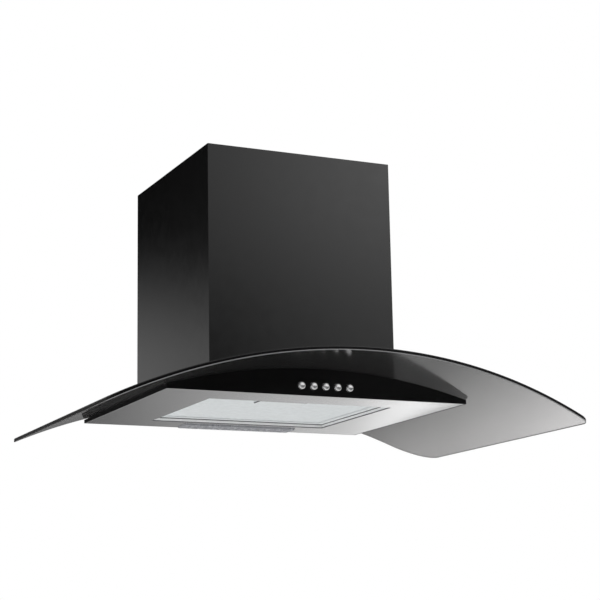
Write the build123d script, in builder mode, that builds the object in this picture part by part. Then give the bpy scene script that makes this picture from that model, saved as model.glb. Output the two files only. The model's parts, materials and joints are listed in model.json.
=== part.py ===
from build123d import *
from math import asin, cos, radians, sin, sqrt
import os

os.makedirs("parts", exist_ok=True)

# A wall-mounted cooker hood under a canopy of curved glass. Millimetres.
# X runs to the right, Y into the wall, Z up. The wall is the plane Y = 0, and the origin
# is the middle of the four wall holes.

# ---------------------------------------------------------------- overall sizes
glass_width = 698.0
glass_side_depth = 478.0
glass_centre_depth = 498.0
glass_thickness = 5.0
glass_radius = 824.6
glass_front_corner = 14.0
glass_rear_corner = 58.0
body_width = 456.0
body_depth = 351.0
body_side_rise = 5.1
chimney_width = 288.0
chimney_depth = 294.0
chimney_rise = 363.0
mount_rise = 150.0

# ---------------------------------------------------------------- sheets and clearances
sheet = 1.0
fascia_thickness = 1.2
wall_plate_thickness = 1.5
seal_thickness = 1.0
curved_gap = 0.3
flat_gap = 0.1
running_gap = 0.05
slide_gap = 0.3

# ---------------------------------------------------------------- the arch and the heights
# Every curved sheet follows one arch about a line along Y, far below the hood. The arch is
# as high as the body's side walls let it be.
glass_under_radius = glass_radius - glass_thickness
roof_radius = glass_under_radius - seal_thickness
underside_z = -mount_rise
arch_axis_z = underside_z + body_side_rise - sqrt(roof_radius**2 - (body_width / 2) ** 2)
glass_crown_z = arch_axis_z + glass_radius
glass_crown_rise = glass_crown_z - underside_z
glass_drop = glass_radius - sqrt(glass_radius**2 - (glass_width / 2) ** 2)
chimney_top_z = underside_z + chimney_rise
box_rise = 234.0
box_top_z = underside_z + box_rise


def arch_z(x, radius):
    """Height of the arch of this radius at x."""
    return arch_axis_z + sqrt(radius**2 - x**2)


def arch_plane(x, y, radius):
    """Plane square to the arch at x, its normal pointing up and out."""
    lean = asin(x / radius)
    normal = (sin(lean), 0, cos(lean))
    return Plane(origin=(x, y, arch_z(x, radius)), x_dir=(0, 1, 0), z_dir=normal)


def arch_disc(radius):
    """Disc under the arch of this radius, seen from the front."""
    with BuildSketch(Plane.XZ) as disc:
        with Locations((0, arch_axis_z)):
            Circle(radius)
    return disc.sketch


def lens_section(width, radius, base_z, plane):
    """Section with a flat base at base_z and the arch of this radius for its top."""
    with BuildSketch(plane) as section:
        with Locations((0, base_z)):
            Rectangle(width, 2 * glass_crown_rise, align=(Align.CENTER, Align.MIN))
        with Locations((0, arch_axis_z)):
            Circle(radius, mode=Mode.INTERSECT)
    return section.sketch


def block(size_x, size_y, rise, centre, base_z, mode=Mode.ADD):
    """Upright block from base_z, centred on centre in plan."""
    with Locations((centre[0], centre[1], base_z)):
        Box(size_x, size_y, rise, align=(Align.CENTER, Align.CENTER, Align.MIN), mode=mode)


def drill(planes, radius, depth):
    """Round holes cut down from the planes."""
    with BuildSketch(*planes) as marks:
        Circle(radius)
    extrude(marks.sketch, amount=-depth, mode=Mode.SUBTRACT)


def save(piece, name):
    piece.part.label = name
    export_step(piece.part, f"parts/{name}.step")


def screw_set(name, planes, thread_radius, length):
    """Pan-head cross screws, each with its head seated on a plane."""
    head_radius = 1.8 * thread_radius
    head_height = 1.1 * thread_radius
    recess_width = 0.45 * thread_radius
    with BuildPart() as screws:
        with BuildSketch(*planes):
            Circle(head_radius)
        extrude(amount=head_height)
        with BuildSketch(*planes):
            Circle(thread_radius)
        extrude(amount=-length)
        with BuildSketch(*[plane.offset(head_height) for plane in planes]):
            Rectangle(head_radius, recess_width)
            Rectangle(recess_width, head_radius)
        extrude(amount=-head_height / 2, mode=Mode.SUBTRACT)
    save(screws, name)


# ---------------------------------------------------------------- glass canopy
notch_margin = 13.0
notch_front_margin = 24.0
notch_width = chimney_width - 2 * notch_margin
notch_depth = chimney_depth - notch_front_margin
notch_corner = 8.0
glass_screw_radius = 2.5
glass_hole_radius = 4.0
glass_washer_radius = 8.0
glass_washer_thickness = 1.5
glass_screw_length = 12.0
glass_screw_inset = 52.0
glass_screw_front_inset = 51.0
glass_screw_rear_inset = 70.0
glass_screw_x = body_width / 2 - glass_screw_inset
glass_screw_ys = (glass_screw_front_inset - body_depth, -glass_screw_rear_inset)
glass_screw_places = [(x, y) for x in (-glass_screw_x, glass_screw_x) for y in glass_screw_ys]
glass_screw_planes = [arch_plane(x, y, glass_radius) for x, y in glass_screw_places]

with BuildPart() as glass_canopy:
    half_width = glass_width / 2
    with BuildSketch(Plane.XY.offset(underside_z - glass_drop)) as plan:
        with BuildLine():
            Polyline(
                (half_width, -glass_side_depth),
                (half_width, 0),
                (-half_width, 0),
                (-half_width, -glass_side_depth),
            )
            ThreePointArc(
                (-half_width, -glass_side_depth),
                (0, -glass_centre_depth),
                (half_width, -glass_side_depth),
            )
        make_face()
        fillet(plan.vertices().group_by(Axis.Y)[0], glass_front_corner)
        fillet(plan.vertices().group_by(Axis.Y)[-1], glass_rear_corner)
        with Locations((0, notch_corner - notch_depth / 2)):
            RectangleRounded(
                notch_width, notch_depth + 2 * notch_corner, notch_corner, mode=Mode.SUBTRACT
            )
    extrude(amount=2 * glass_drop + glass_crown_rise)
    extrude(arch_disc(glass_radius), amount=glass_centre_depth, mode=Mode.INTERSECT)
    extrude(arch_disc(glass_under_radius), amount=glass_centre_depth, mode=Mode.SUBTRACT)
    drill(glass_screw_planes, glass_hole_radius, 2 * glass_thickness)
save(glass_canopy, "glass_canopy")

# Soft washers under the heads and a foam strip between the glass and the steel roof.
with BuildPart() as glass_washers:
    with BuildSketch(*[plane.offset(curved_gap) for plane in glass_screw_planes]):
        Circle(glass_washer_radius)
        Circle(glass_screw_radius + flat_gap, mode=Mode.SUBTRACT)
    extrude(amount=glass_washer_thickness)
save(glass_washers, "glass_washers")

screw_set(
    "glass_screws",
    [plane.offset(curved_gap + glass_washer_thickness) for plane in glass_screw_planes],
    glass_screw_radius,
    glass_screw_length,
)

seal_width = 8.0
seal_inset = 6.0
with BuildPart() as glass_seal:
    with BuildSketch(Plane.XY.offset(underside_z)):
        with Locations((0, -body_depth / 2)):
            Rectangle(body_width - 2 * seal_inset, body_depth - 2 * seal_inset)
            Rectangle(
                body_width - 2 * seal_inset - 2 * seal_width,
                body_depth - 2 * seal_inset - 2 * seal_width,
                mode=Mode.SUBTRACT,
            )
        with Locations((0, 0)):
            Rectangle(notch_width, 2 * notch_depth, mode=Mode.SUBTRACT)
    extrude(amount=2 * glass_crown_rise)
    extrude(
        arch_disc(glass_under_radius - curved_gap), amount=body_depth, mode=Mode.INTERSECT
    )
    extrude(arch_disc(roof_radius), amount=body_depth, mode=Mode.SUBTRACT)
save(glass_seal, "glass_seal")

# ---------------------------------------------------------------- steel body under the glass
box_side_space = 17.0
box_front_space = 32.0
intake_margin = 9.0
box_width = chimney_width - 2 * box_side_space
box_depth = chimney_depth - box_front_space
body_front_y = -(body_depth - fascia_thickness)

with BuildPart() as hood_body:
    extrude(lens_section(body_width, roof_radius, underside_z, Plane.XZ), amount=-body_front_y)
    extrude(
        lens_section(
            body_width - 2 * sheet,
            roof_radius - sheet,
            underside_z - sheet,
            Plane.XZ.offset(sheet),
        ),
        amount=body_depth,
        mode=Mode.SUBTRACT,
    )
    block(
        box_width - 2 * intake_margin,
        box_depth - 2 * intake_margin,
        glass_crown_rise,
        (0, -box_depth / 2),
        underside_z + glass_crown_rise / 4,
        Mode.SUBTRACT,
    )
    drill(glass_screw_planes, glass_screw_radius + flat_gap, glass_screw_length)
save(hood_body, "hood_body")

# ---------------------------------------------------------------- black front plate
button_count = 5
button_pitch = 18.3
button_row_x = 4.1
button_rise = 13.3
button_radius = 5.0
button_travel = 3.0
button_z = underside_z + button_rise
button_xs = [
    button_row_x + (index - (button_count - 1) / 2) * button_pitch
    for index in range(button_count)
]
fascia_back = Plane.XZ.offset(body_depth - fascia_thickness)
fascia_face = Plane.XZ.offset(body_depth)


def button_planes(plane):
    """The plane of the front, or one behind it, moved to the middle of each button."""
    return [
        Plane(origin=(x, plane.origin.Y, button_z), x_dir=plane.x_dir, z_dir=plane.z_dir)
        for x in button_xs
    ]


with BuildPart() as front_fascia:
    extrude(
        lens_section(body_width, glass_under_radius - curved_gap, underside_z, fascia_back),
        amount=fascia_thickness,
    )
    drill(button_planes(fascia_face), button_radius + slide_gap, fascia_thickness)
save(front_fascia, "front_fascia")

# ---------------------------------------------------------------- push buttons and their switch
button_proud = 5.0
button_dome = 2.2
button_rim_radius = 6.2
button_rim_thickness = 1.2
stem_radius = 2.5
switch_gap = 7.0
stem_engagement = 7.0
switch_width = 104.0
switch_depth = 24.0
switch_rise = 18.0
switch_corner = 2.0
switch_bracket_thickness = 1.2
switch_bracket_tab = 12.0
bracket_hole_radius = 7.5
switch_face_y = body_front_y + switch_gap
switch_base_z = button_z - switch_rise / 2

for index, place in enumerate(button_planes(fascia_back), start=1):
    with BuildPart() as button:
        with BuildSketch(place.offset(-slide_gap - button_rim_thickness)):
            Circle(button_radius)
        extrude(amount=slide_gap + button_rim_thickness + fascia_thickness + button_proud)
        fillet(button.edges().group_by(Axis.Y)[0], button_dome)
        with BuildSketch(place.offset(fascia_thickness + button_proud)):
            Circle(button_radius / 2)
        extrude(amount=-button_dome / 4, mode=Mode.SUBTRACT)
        with BuildSketch(place.offset(-slide_gap)):
            Circle(button_rim_radius)
        extrude(amount=-button_rim_thickness)
        with BuildSketch(place.offset(-slide_gap - button_rim_thickness)):
            Circle(stem_radius)
        extrude(amount=-(switch_gap + stem_engagement - slide_gap - button_rim_thickness))
    save(button, f"button_{index}")

with BuildPart() as switch_module:
    block(
        switch_width,
        switch_depth,
        switch_rise,
        (button_row_x, switch_face_y + switch_depth / 2),
        switch_base_z,
    )
    fillet(switch_module.edges().filter_by(Axis.Z), switch_corner)
    drill(
        button_planes(Plane.XZ.offset(-switch_face_y)),
        stem_radius + running_gap,
        stem_engagement + button_travel + slide_gap,
    )
save(switch_module, "switch_module")

bracket_width = switch_width + 2 * switch_bracket_tab
shelf_depth = switch_gap + switch_depth
switch_screw_x = button_row_x + (switch_width + switch_bracket_tab) / 2
switch_screw_radius = 1.5
bracket_face = Plane.XZ.offset(-body_front_y - switch_bracket_thickness)
switch_screw_planes = [
    Plane(origin=(x, bracket_face.origin.Y, button_z), x_dir=(1, 0, 0), z_dir=(0, 1, 0))
    for x in (2 * button_row_x - switch_screw_x, switch_screw_x)
]
with BuildPart() as switch_bracket:
    bracket_base_z = switch_base_z - switch_bracket_thickness
    block(
        bracket_width,
        switch_bracket_thickness,
        switch_rise + switch_bracket_thickness,
        (button_row_x, body_front_y + switch_bracket_thickness / 2),
        bracket_base_z,
    )
    block(
        bracket_width,
        shelf_depth,
        switch_bracket_thickness,
        (button_row_x, body_front_y + shelf_depth / 2),
        bracket_base_z,
    )
    drill(button_planes(fascia_back), bracket_hole_radius, switch_bracket_thickness)
    drill(switch_screw_planes, switch_screw_radius + flat_gap, switch_bracket_thickness)
save(switch_bracket, "switch_bracket")
screw_set("switch_screws", switch_screw_planes, switch_screw_radius, switch_bracket_thickness)

# ---------------------------------------------------------------- stainless underside
panel_gap = 0.2
panel_lip = 3.0
filter_opening_width = 280.0
filter_front_land = 66.0
filter_rear_land = 18.5
recess_depth = 5.5
recess_flange = 1.0
lamp_width = 184.0
lamp_depth = 34.0
lamp_x = 12.0
lamp_y = -21.0
lamp_rim = 4.0
filter_opening_front_y = filter_front_land - body_depth
filter_opening_rear_y = lamp_y - lamp_depth / 2 - filter_rear_land
panel_width = body_width - 2 * sheet - 2 * panel_gap
panel_front_y = body_front_y + panel_gap
panel_depth = -panel_front_y - sheet - panel_gap
panel_centre = (0, panel_front_y + panel_depth / 2)
opening_depth = filter_opening_rear_y - filter_opening_front_y
opening_centre = (0, (filter_opening_front_y + filter_opening_rear_y) / 2)
lamp_centre = (lamp_x, lamp_y)

with BuildPart() as underside_panel:
    block(panel_width, panel_depth, panel_lip, panel_centre, underside_z)
    block(
        panel_width - 2 * sheet,
        panel_depth - 2 * sheet,
        panel_lip,
        panel_centre,
        underside_z + sheet,
        Mode.SUBTRACT,
    )
    block(
        filter_opening_width + 2 * sheet,
        opening_depth + 2 * sheet,
        recess_depth + recess_flange,
        opening_centre,
        underside_z,
    )
    block(
        filter_opening_width,
        opening_depth,
        2 * recess_depth,
        opening_centre,
        underside_z,
        Mode.SUBTRACT,
    )
    block(
        lamp_width - 2 * lamp_rim,
        lamp_depth - 2 * lamp_rim,
        2 * sheet,
        lamp_centre,
        underside_z,
        Mode.SUBTRACT,
    )
save(underside_panel, "underside_panel")

# ---------------------------------------------------------------- lamp
lamp_proud = 2.0
lamp_wall = 1.2
reflector_sheet = 0.6
reflector_headroom = 2.9
bulb_clearance = 1.7
bulb_length = 80.0
bulb_cap_radius = 7.0
holder_clearance = 1.2
holder_length = 30.0
reflector_rise = (
    arch_z(lamp_x + lamp_width / 2, roof_radius) - sheet - reflector_headroom - underside_z
)
lamp_space = reflector_rise - sheet - reflector_sheet
bulb_rise = sheet + lamp_space / 2
bulb_radius = lamp_space / 2 - bulb_clearance
holder_radius = lamp_space / 2 - holder_clearance

with BuildPart() as lamp_cover:
    block(lamp_width, lamp_depth, lamp_proud, lamp_centre, underside_z - lamp_proud)
    fillet(lamp_cover.edges().filter_by(Axis.Z), 2 * lamp_wall)
    block(
        lamp_width - 2 * lamp_rim - 2 * panel_gap,
        lamp_depth - 2 * lamp_rim - 2 * panel_gap,
        2 * sheet,
        lamp_centre,
        underside_z,
    )
    block(
        lamp_width - 2 * lamp_rim - 2 * lamp_wall,
        lamp_depth - 2 * lamp_rim - 2 * lamp_wall,
        2 * sheet + lamp_proud,
        lamp_centre,
        underside_z - lamp_proud + lamp_wall,
        Mode.SUBTRACT,
    )
save(lamp_cover, "lamp_cover")

with BuildPart() as lamp_reflector:
    block(lamp_width, lamp_depth, reflector_rise - sheet, lamp_centre, underside_z + sheet)
    block(
        lamp_width - 2 * reflector_sheet,
        lamp_depth - 2 * reflector_sheet,
        reflector_rise - sheet - reflector_sheet,
        lamp_centre,
        underside_z + sheet,
        Mode.SUBTRACT,
    )
save(lamp_reflector, "lamp_reflector")

holder_start_x = lamp_x - lamp_width / 2 + reflector_sheet
bulb_axis = Plane(
    origin=(holder_start_x, lamp_y, underside_z + bulb_rise), x_dir=(0, 1, 0), z_dir=(1, 0, 0)
)
bulb_neck = holder_length / 2
with BuildPart() as lamp_holder:
    with BuildSketch(bulb_axis):
        Circle(holder_radius)
    extrude(amount=holder_length)
    with BuildSketch(bulb_axis.offset(holder_length)):
        Circle(bulb_cap_radius + flat_gap)
    extrude(amount=-bulb_neck - flat_gap, mode=Mode.SUBTRACT)
save(lamp_holder, "lamp_holder")

with BuildPart() as lamp_bulb:
    with BuildSketch(bulb_axis.offset(holder_length - bulb_neck)):
        Circle(bulb_cap_radius)
    extrude(amount=bulb_neck + slide_gap)
    with BuildSketch(bulb_axis.offset(holder_length + slide_gap)):
        Circle(bulb_radius)
    extrude(amount=bulb_length)
    fillet(lamp_bulb.edges().group_by(Axis.X)[-1], bulb_radius - bulb_radius / 8)
save(lamp_bulb, "lamp_bulb")

# ---------------------------------------------------------------- grease filter
# It hangs on two pins at its rear edge and is held by a sliding latch at the front.
filter_side_gap = 1.5
filter_rear_gap = 3.5
filter_lead = 8.5
latch_side_gap = 1.0
filter_thickness = 9.0
rail_width = 10.0
rail_wall = 4.0
rail_lip = 0.8
mesh_sheet = 0.6
mesh_columns = 16
mesh_rows = 13
mesh_slot_share = 0.66
wool_layers = 5
wool_sheet_gap = 0.8
pin_radius = 1.5
pin_inset = 3.5
pin_bite = 3.5
ear_thickness = 1.5
ear_foot = 10.0
filter_width = filter_opening_width - 2 * filter_side_gap
filter_front_y = filter_opening_front_y + filter_side_gap + filter_lead
filter_rear_y = filter_opening_rear_y - filter_rear_gap
filter_depth = filter_rear_y - filter_front_y
filter_centre = (0, (filter_front_y + filter_rear_y) / 2)
filter_base_z = underside_z + recess_depth
pin_y = filter_rear_y - pin_inset
pin_z = filter_base_z + filter_thickness / 2
pack_width = filter_width - 2 * rail_wall
pack_depth = filter_depth - 2 * rail_wall
window_width = filter_width - 2 * rail_width
window_depth = filter_depth - 2 * rail_width
latch_x = -27.0
latch_width = 74.0
latch_front_gap = 1.4
latch_reach = 23.6
latch_front_y = filter_opening_front_y + latch_front_gap
latch_rear_y = latch_front_y + latch_reach
latch_sheet = 1.2
latch_drop = 0.4
latch_travel = 5.0
rivet_radius = 1.8
rivet_head_radius = 3.5
rivet_head_height = 1.2
rivet_spacing = 50.0
rivet_y = filter_front_y + rail_width / 2
filter_top_z = filter_base_z + filter_thickness
rivet_places = [
    Plane.XY.move(Location((latch_x + side * rivet_spacing / 2, rivet_y, filter_top_z)))
    for side in (-1, 1)
]
pin_sides = [
    Plane(origin=(side * filter_width / 2, pin_y, pin_z), x_dir=(0, side, 0), z_dir=(side, 0, 0))
    for side in (-1, 1)
]

with BuildPart() as filter_frame:
    block(filter_width, filter_depth, filter_thickness, filter_centre, filter_base_z)
    block(
        filter_width,
        filter_lead,
        filter_thickness,
        (0, filter_front_y - filter_lead / 2),
        filter_base_z,
    )
    block(
        latch_width + 2 * latch_side_gap,
        filter_lead,
        filter_thickness,
        (latch_x, filter_front_y - filter_lead / 2),
        filter_base_z,
        Mode.SUBTRACT,
    )
    block(
        window_width, window_depth, filter_thickness, filter_centre, filter_base_z, Mode.SUBTRACT
    )
    block(
        pack_width,
        pack_depth,
        filter_thickness - 2 * rail_lip,
        filter_centre,
        filter_base_z + rail_lip,
        Mode.SUBTRACT,
    )
    drill(pin_sides, pin_radius + running_gap / 2, pin_bite)
    drill(rivet_places, rivet_radius + running_gap / 2, rail_lip)
save(filter_frame, "filter_frame")


def mesh_layer(name, base_z):
    """Punched sheet of the filter, with its slots inside the frame's window."""
    pitch_x = window_width / mesh_columns
    pitch_y = window_depth / mesh_rows
    with BuildPart() as layer:
        with BuildSketch(Plane.XY.offset(base_z)):
            with Locations(filter_centre):
                Rectangle(pack_width - 2 * flat_gap, pack_depth - 2 * flat_gap)
                with GridLocations(pitch_x, pitch_y, mesh_columns, mesh_rows):
                    Rectangle(
                        mesh_slot_share * pitch_x, mesh_slot_share * pitch_y, mode=Mode.SUBTRACT
                    )
        extrude(amount=mesh_sheet)
    save(layer, name)


pack_base_z = filter_base_z + rail_lip + flat_gap
pack_top_z = filter_base_z + filter_thickness - rail_lip - flat_gap
mesh_layer("filter_lower_mesh", pack_base_z)
mesh_layer("filter_upper_mesh", pack_top_z - mesh_sheet)

wool_space = pack_top_z - pack_base_z - 2 * mesh_sheet
wool_pitch = (wool_space + wool_sheet_gap) / wool_layers
with BuildPart() as filter_wool:
    for layer in range(wool_layers):
        block(
            pack_width - 2 * flat_gap,
            pack_depth - 2 * flat_gap,
            wool_pitch - wool_sheet_gap,
            filter_centre,
            pack_base_z + mesh_sheet + layer * wool_pitch,
        )
save(filter_wool, "filter_wool")

ear_gap = sheet + slide_gap
ear_start = filter_side_gap + ear_gap
with BuildPart() as filter_hinge_pins:
    with BuildSketch(*[plane.offset(-pin_bite) for plane in pin_sides]):
        Circle(pin_radius)
    extrude(amount=pin_bite + ear_start + ear_thickness + slide_gap)
save(filter_hinge_pins, "filter_hinge_pins")

ear_length = 14.0
with BuildPart() as filter_hinge_ears:
    ear_rise = pin_z - underside_z - sheet + 2.5 * pin_radius
    ear_x = filter_opening_width / 2 + ear_gap
    for side in (-1, 1):
        block(
            ear_thickness,
            ear_length,
            ear_rise,
            (side * (ear_x + ear_thickness / 2), pin_y),
            underside_z + sheet,
        )
        block(
            ear_foot,
            ear_length,
            ear_thickness,
            (side * (ear_x + ear_foot / 2), pin_y),
            underside_z + sheet,
        )
    drill(
        [plane.offset(ear_start + ear_thickness) for plane in pin_sides],
        pin_radius + running_gap,
        ear_thickness,
    )
save(filter_hinge_ears, "filter_hinge_ears")

latch_base_z = underside_z + latch_drop
latch_top_z = filter_top_z + slide_gap + latch_sheet
cheek_rise = recess_depth - latch_drop - slide_gap
latch_depth = latch_rear_y - latch_front_y
latch_centre = (latch_x, (latch_front_y + latch_rear_y) / 2)
grip_width = 50.0
with BuildPart() as filter_latch:
    block(latch_width, latch_depth, latch_sheet, latch_centre, latch_base_z)
    for side in (-1, 1):
        cheek_x = latch_x + side * (latch_width - latch_sheet) / 2
        block(latch_sheet, latch_depth, cheek_rise, (cheek_x, latch_centre[1]), latch_base_z)
    block(
        latch_width,
        latch_sheet,
        latch_top_z - latch_base_z,
        (latch_x, latch_front_y + latch_sheet / 2),
        latch_base_z,
    )
    block(latch_width, latch_depth, latch_sheet, latch_centre, latch_top_z - latch_sheet)
    block(
        grip_width,
        latch_sheet,
        cheek_rise,
        (latch_x, latch_rear_y - latch_sheet / 2),
        latch_base_z,
    )
    with BuildSketch(Plane.XY.offset(latch_top_z)):
        for side in (-1, 1):
            rivet_x = latch_x + side * rivet_spacing / 2
            with Locations((rivet_x, rivet_y - latch_travel / 2)):
                SlotCenterToCenter(
                    latch_travel, 2 * (rivet_radius + slide_gap), rotation=90
                )
    extrude(amount=-latch_sheet, mode=Mode.SUBTRACT)
save(filter_latch, "filter_latch")

with BuildPart() as latch_rivets:
    with BuildSketch(*[plane.offset(-rail_lip) for plane in rivet_places]):
        Circle(rivet_radius)
    extrude(amount=rail_lip + latch_sheet + 2 * slide_gap)
    with BuildSketch(*[plane.offset(latch_sheet + 2 * slide_gap) for plane in rivet_places]):
        Circle(rivet_head_radius)
    extrude(amount=rivet_head_height)
save(latch_rivets, "latch_rivets")

# ---------------------------------------------------------------- wall plate and blower box
wall_hole_spacing_x = 200.0
wall_hole_spacing_z = 120.0
wall_hole_radius = 4.0
wing_inset = 5.0
wing_rise = 52.0
flange_width = 12.0
wing_width = chimney_width - 2 * wing_inset
box_screw_radius = 2.0
box_screw_x = box_width / 2 - flange_width / 2
box_screw_zs = (-70.0, 0.0, 70.0)
box_screw_planes = [
    Plane(
        origin=(side * box_screw_x, -wall_plate_thickness - sheet, z),
        x_dir=(1, 0, 0),
        z_dir=(0, -1, 0),
    )
    for side in (-1, 1)
    for z in box_screw_zs
]
lip_width = 16.0
lip_standoff = 1.0
lip_face_y = -(wall_plate_thickness + lip_standoff + sheet)
chimney_screw_radius = 2.0
chimney_screw_inset = 10.5
chimney_screw_x = chimney_width / 2 - chimney_screw_inset
chimney_screw_zs = (-55.0, 55.0)
chimney_screw_planes = [
    Plane(origin=(side * chimney_screw_x, lip_face_y, z), x_dir=(1, 0, 0), z_dir=(0, -1, 0))
    for side in (-1, 1)
    for z in chimney_screw_zs
]
wing_base_z = underside_z + wing_rise

with BuildPart() as wall_plate:
    plate_y = -wall_plate_thickness / 2
    block(box_width, wall_plate_thickness, box_rise, (0, plate_y), underside_z)
    block(wing_width, wall_plate_thickness, box_top_z - wing_base_z, (0, plate_y), wing_base_z)
    extrude(
        arch_disc(roof_radius + curved_gap), amount=2 * wall_plate_thickness, mode=Mode.SUBTRACT
    )
    with BuildSketch(Plane.XZ):
        with GridLocations(wall_hole_spacing_x, wall_hole_spacing_z, 2, 2):
            Circle(wall_hole_radius)
    extrude(amount=wall_plate_thickness, mode=Mode.SUBTRACT)
    drill(box_screw_planes, box_screw_radius + flat_gap, box_depth / 10)
    drill(chimney_screw_planes, chimney_screw_radius + flat_gap, box_depth / 10)
save(wall_plate, "wall_plate")

fan_y = -100.0
fan_z = -4.0
volute_start = 82.0
volute_end = 118.0
tongue_set = 6.0
volute_width = 112.0
volute_sheet = 1.2
spigot_radius = 75.0
spigot_y = fan_y - (volute_end + tongue_set) / 2
spigot_flange = 172.0
spigot_screw_radius = 2.0
spigot_screw_spacing_x = 126.0
spigot_screw_spacing_y = 128.0
spigot_flange_thickness = 2.5
spigot_wall = 2.0
spigot_screw_planes = [
    Plane.XY.move(
        Location(
            (
                side_x * spigot_screw_spacing_x / 2,
                spigot_y + side_y * spigot_screw_spacing_y / 2,
                box_top_z + spigot_flange_thickness,
            )
        )
    )
    for side_x in (-1, 1)
    for side_y in (-1, 1)
]
box_side_depth = box_depth - wall_plate_thickness
box_centre = (0, -wall_plate_thickness - box_side_depth / 2)

with BuildPart() as blower_box:
    block(box_width, box_side_depth, box_rise, box_centre, underside_z)
    block(
        box_width - 2 * sheet,
        box_side_depth,
        box_rise - sheet,
        (0, box_centre[1] + sheet),
        underside_z,
        Mode.SUBTRACT,
    )
    for side in (-1, 1):
        block(
            flange_width,
            sheet,
            box_rise,
            (side * (box_width - flange_width) / 2, -wall_plate_thickness - sheet / 2),
            underside_z,
        )
    extrude(arch_disc(roof_radius + curved_gap), amount=2 * box_depth, mode=Mode.SUBTRACT)
    with BuildSketch(Plane.XY.offset(box_top_z)):
        with Locations((0, spigot_y)):
            Circle(spigot_radius - spigot_wall)
    extrude(amount=-sheet, mode=Mode.SUBTRACT)
    drill(box_screw_planes, box_screw_radius + flat_gap, sheet)
    drill(spigot_screw_planes, spigot_screw_radius + flat_gap, spigot_flange_thickness + sheet)
save(blower_box, "blower_box")
screw_set("box_screws", box_screw_planes, box_screw_radius, sheet + wall_plate_thickness)

# ---------------------------------------------------------------- fan scroll
fan_plane = Plane(origin=(0, fan_y, fan_z), x_dir=(0, 1, 0), z_dir=(1, 0, 0))
neck_top_z = box_top_z - sheet
inlet_hole_radius = 60.0
scroll_flange_width = 14.0
spiral_turn = 270
spiral_arcs = 3


def volute_outline(inset):
    """Scroll seen from its side: a spiral from the tongue round to the outlet neck."""

    def spiral(turn):
        reach = volute_start + (volute_end - volute_start) * turn / spiral_turn - inset
        heading = radians(turn)
        return (fan_y + reach * sin(heading), fan_z + reach * cos(heading))

    front_y = fan_y - volute_end + inset
    rear_y = fan_y - tongue_set - inset
    with BuildSketch(Plane.YZ) as outline:
        with BuildLine():
            arc_turn = spiral_turn / spiral_arcs
            for arc in range(spiral_arcs):
                ThreePointArc(
                    *[spiral((arc + share) * arc_turn) for share in (0, 0.5, 1)]
                )
            Polyline(
                spiral(spiral_turn),
                (front_y, neck_top_z),
                (rear_y, neck_top_z),
                (rear_y, spiral(0)[1]),
                spiral(0),
            )
        make_face()
    return outline.sketch


neck_depth = volute_end - tongue_set
neck_centre = (0, fan_y - (volute_end + tongue_set) / 2)
with BuildPart() as scroll_housing:
    extrude(volute_outline(0), amount=volute_width / 2, both=True)
    block(
        volute_width + 2 * scroll_flange_width,
        neck_depth + 2 * scroll_flange_width,
        volute_sheet,
        neck_centre,
        neck_top_z - volute_sheet,
    )
    extrude(
        volute_outline(volute_sheet),
        amount=volute_width / 2 - volute_sheet,
        both=True,
        mode=Mode.SUBTRACT,
    )
    with BuildSketch(fan_plane):
        Circle(inlet_hole_radius)
    extrude(amount=volute_width, both=True, mode=Mode.SUBTRACT)
    drill(
        spigot_screw_planes,
        spigot_screw_radius + flat_gap,
        spigot_flange_thickness + sheet + volute_sheet,
    )
save(scroll_housing, "scroll_housing")

inlet_ring_radius = 58.0
inlet_ring_wall = 1.2
inlet_ring_flange = 66.0
inlet_ring_depth = 6.0
side_planes = [
    Plane(
        origin=(side * volute_width / 2, fan_y, fan_z), x_dir=(0, side, 0), z_dir=(side, 0, 0)
    )
    for side in (-1, 1)
]
with BuildPart() as inlet_rings:
    with BuildSketch(*side_planes):
        Circle(inlet_ring_flange)
    extrude(amount=inlet_ring_wall)
    with BuildSketch(*side_planes):
        Circle(inlet_ring_radius + inlet_ring_wall)
    extrude(amount=-inlet_ring_depth)
    with BuildSketch(*[plane.offset(inlet_ring_wall) for plane in side_planes]):
        Circle(inlet_ring_radius)
    extrude(amount=-2 * inlet_ring_depth, mode=Mode.SUBTRACT)
save(inlet_rings, "inlet_rings")

# ---------------------------------------------------------------- fan wheel
wheel_radius = 73.0
wheel_inner_radius = 62.0
wheel_half_width = 46.0
wheel_ring = 2.0
blade_count = 36
blade_chord = 12.0
blade_thickness = 1.0
blade_lean = 35.0
shaft_radius = 4.0
hub_radius = 10.0
hub_reach = 9.0
with BuildPart() as impeller:
    with BuildSketch(fan_plane.offset(-wheel_half_width)):
        with PolarLocations((wheel_radius + wheel_inner_radius) / 2, blade_count):
            Rectangle(blade_chord, blade_thickness, rotation=blade_lean)
    extrude(amount=2 * wheel_half_width)
    with BuildSketch(fan_plane):
        Circle(wheel_radius)
    extrude(amount=wheel_ring / 2, both=True)
    with BuildSketch(
        fan_plane.offset(-wheel_half_width), fan_plane.offset(wheel_half_width - wheel_ring)
    ):
        Circle(wheel_radius)
        Circle(wheel_inner_radius, mode=Mode.SUBTRACT)
    extrude(amount=wheel_ring)
    with BuildSketch(fan_plane):
        Circle(hub_radius)
    extrude(amount=hub_reach, both=True)
    with BuildSketch(fan_plane):
        Circle(shaft_radius + running_gap / 2)
    extrude(amount=wheel_half_width, both=True, mode=Mode.SUBTRACT)
save(impeller, "impeller")

# ---------------------------------------------------------------- motor
motor_radius = 42.0
motor_wall = 1.5
motor_start = 12.0
motor_length = 50.0
bearing_radius = 11.0
bearing_width = 7.0
bearing_seat_wall = 2.0
stator_inner_radius = 24.0
stator_length = 26.0
stator_slots = 12
stator_slot_width = 5.0
rotor_radius = 23.4
shaft_tail = 6.0
motor_face = fan_plane.offset(motor_start)
motor_end = fan_plane.offset(motor_start + motor_length)
motor_middle = fan_plane.offset(motor_start + motor_length / 2)

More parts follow.
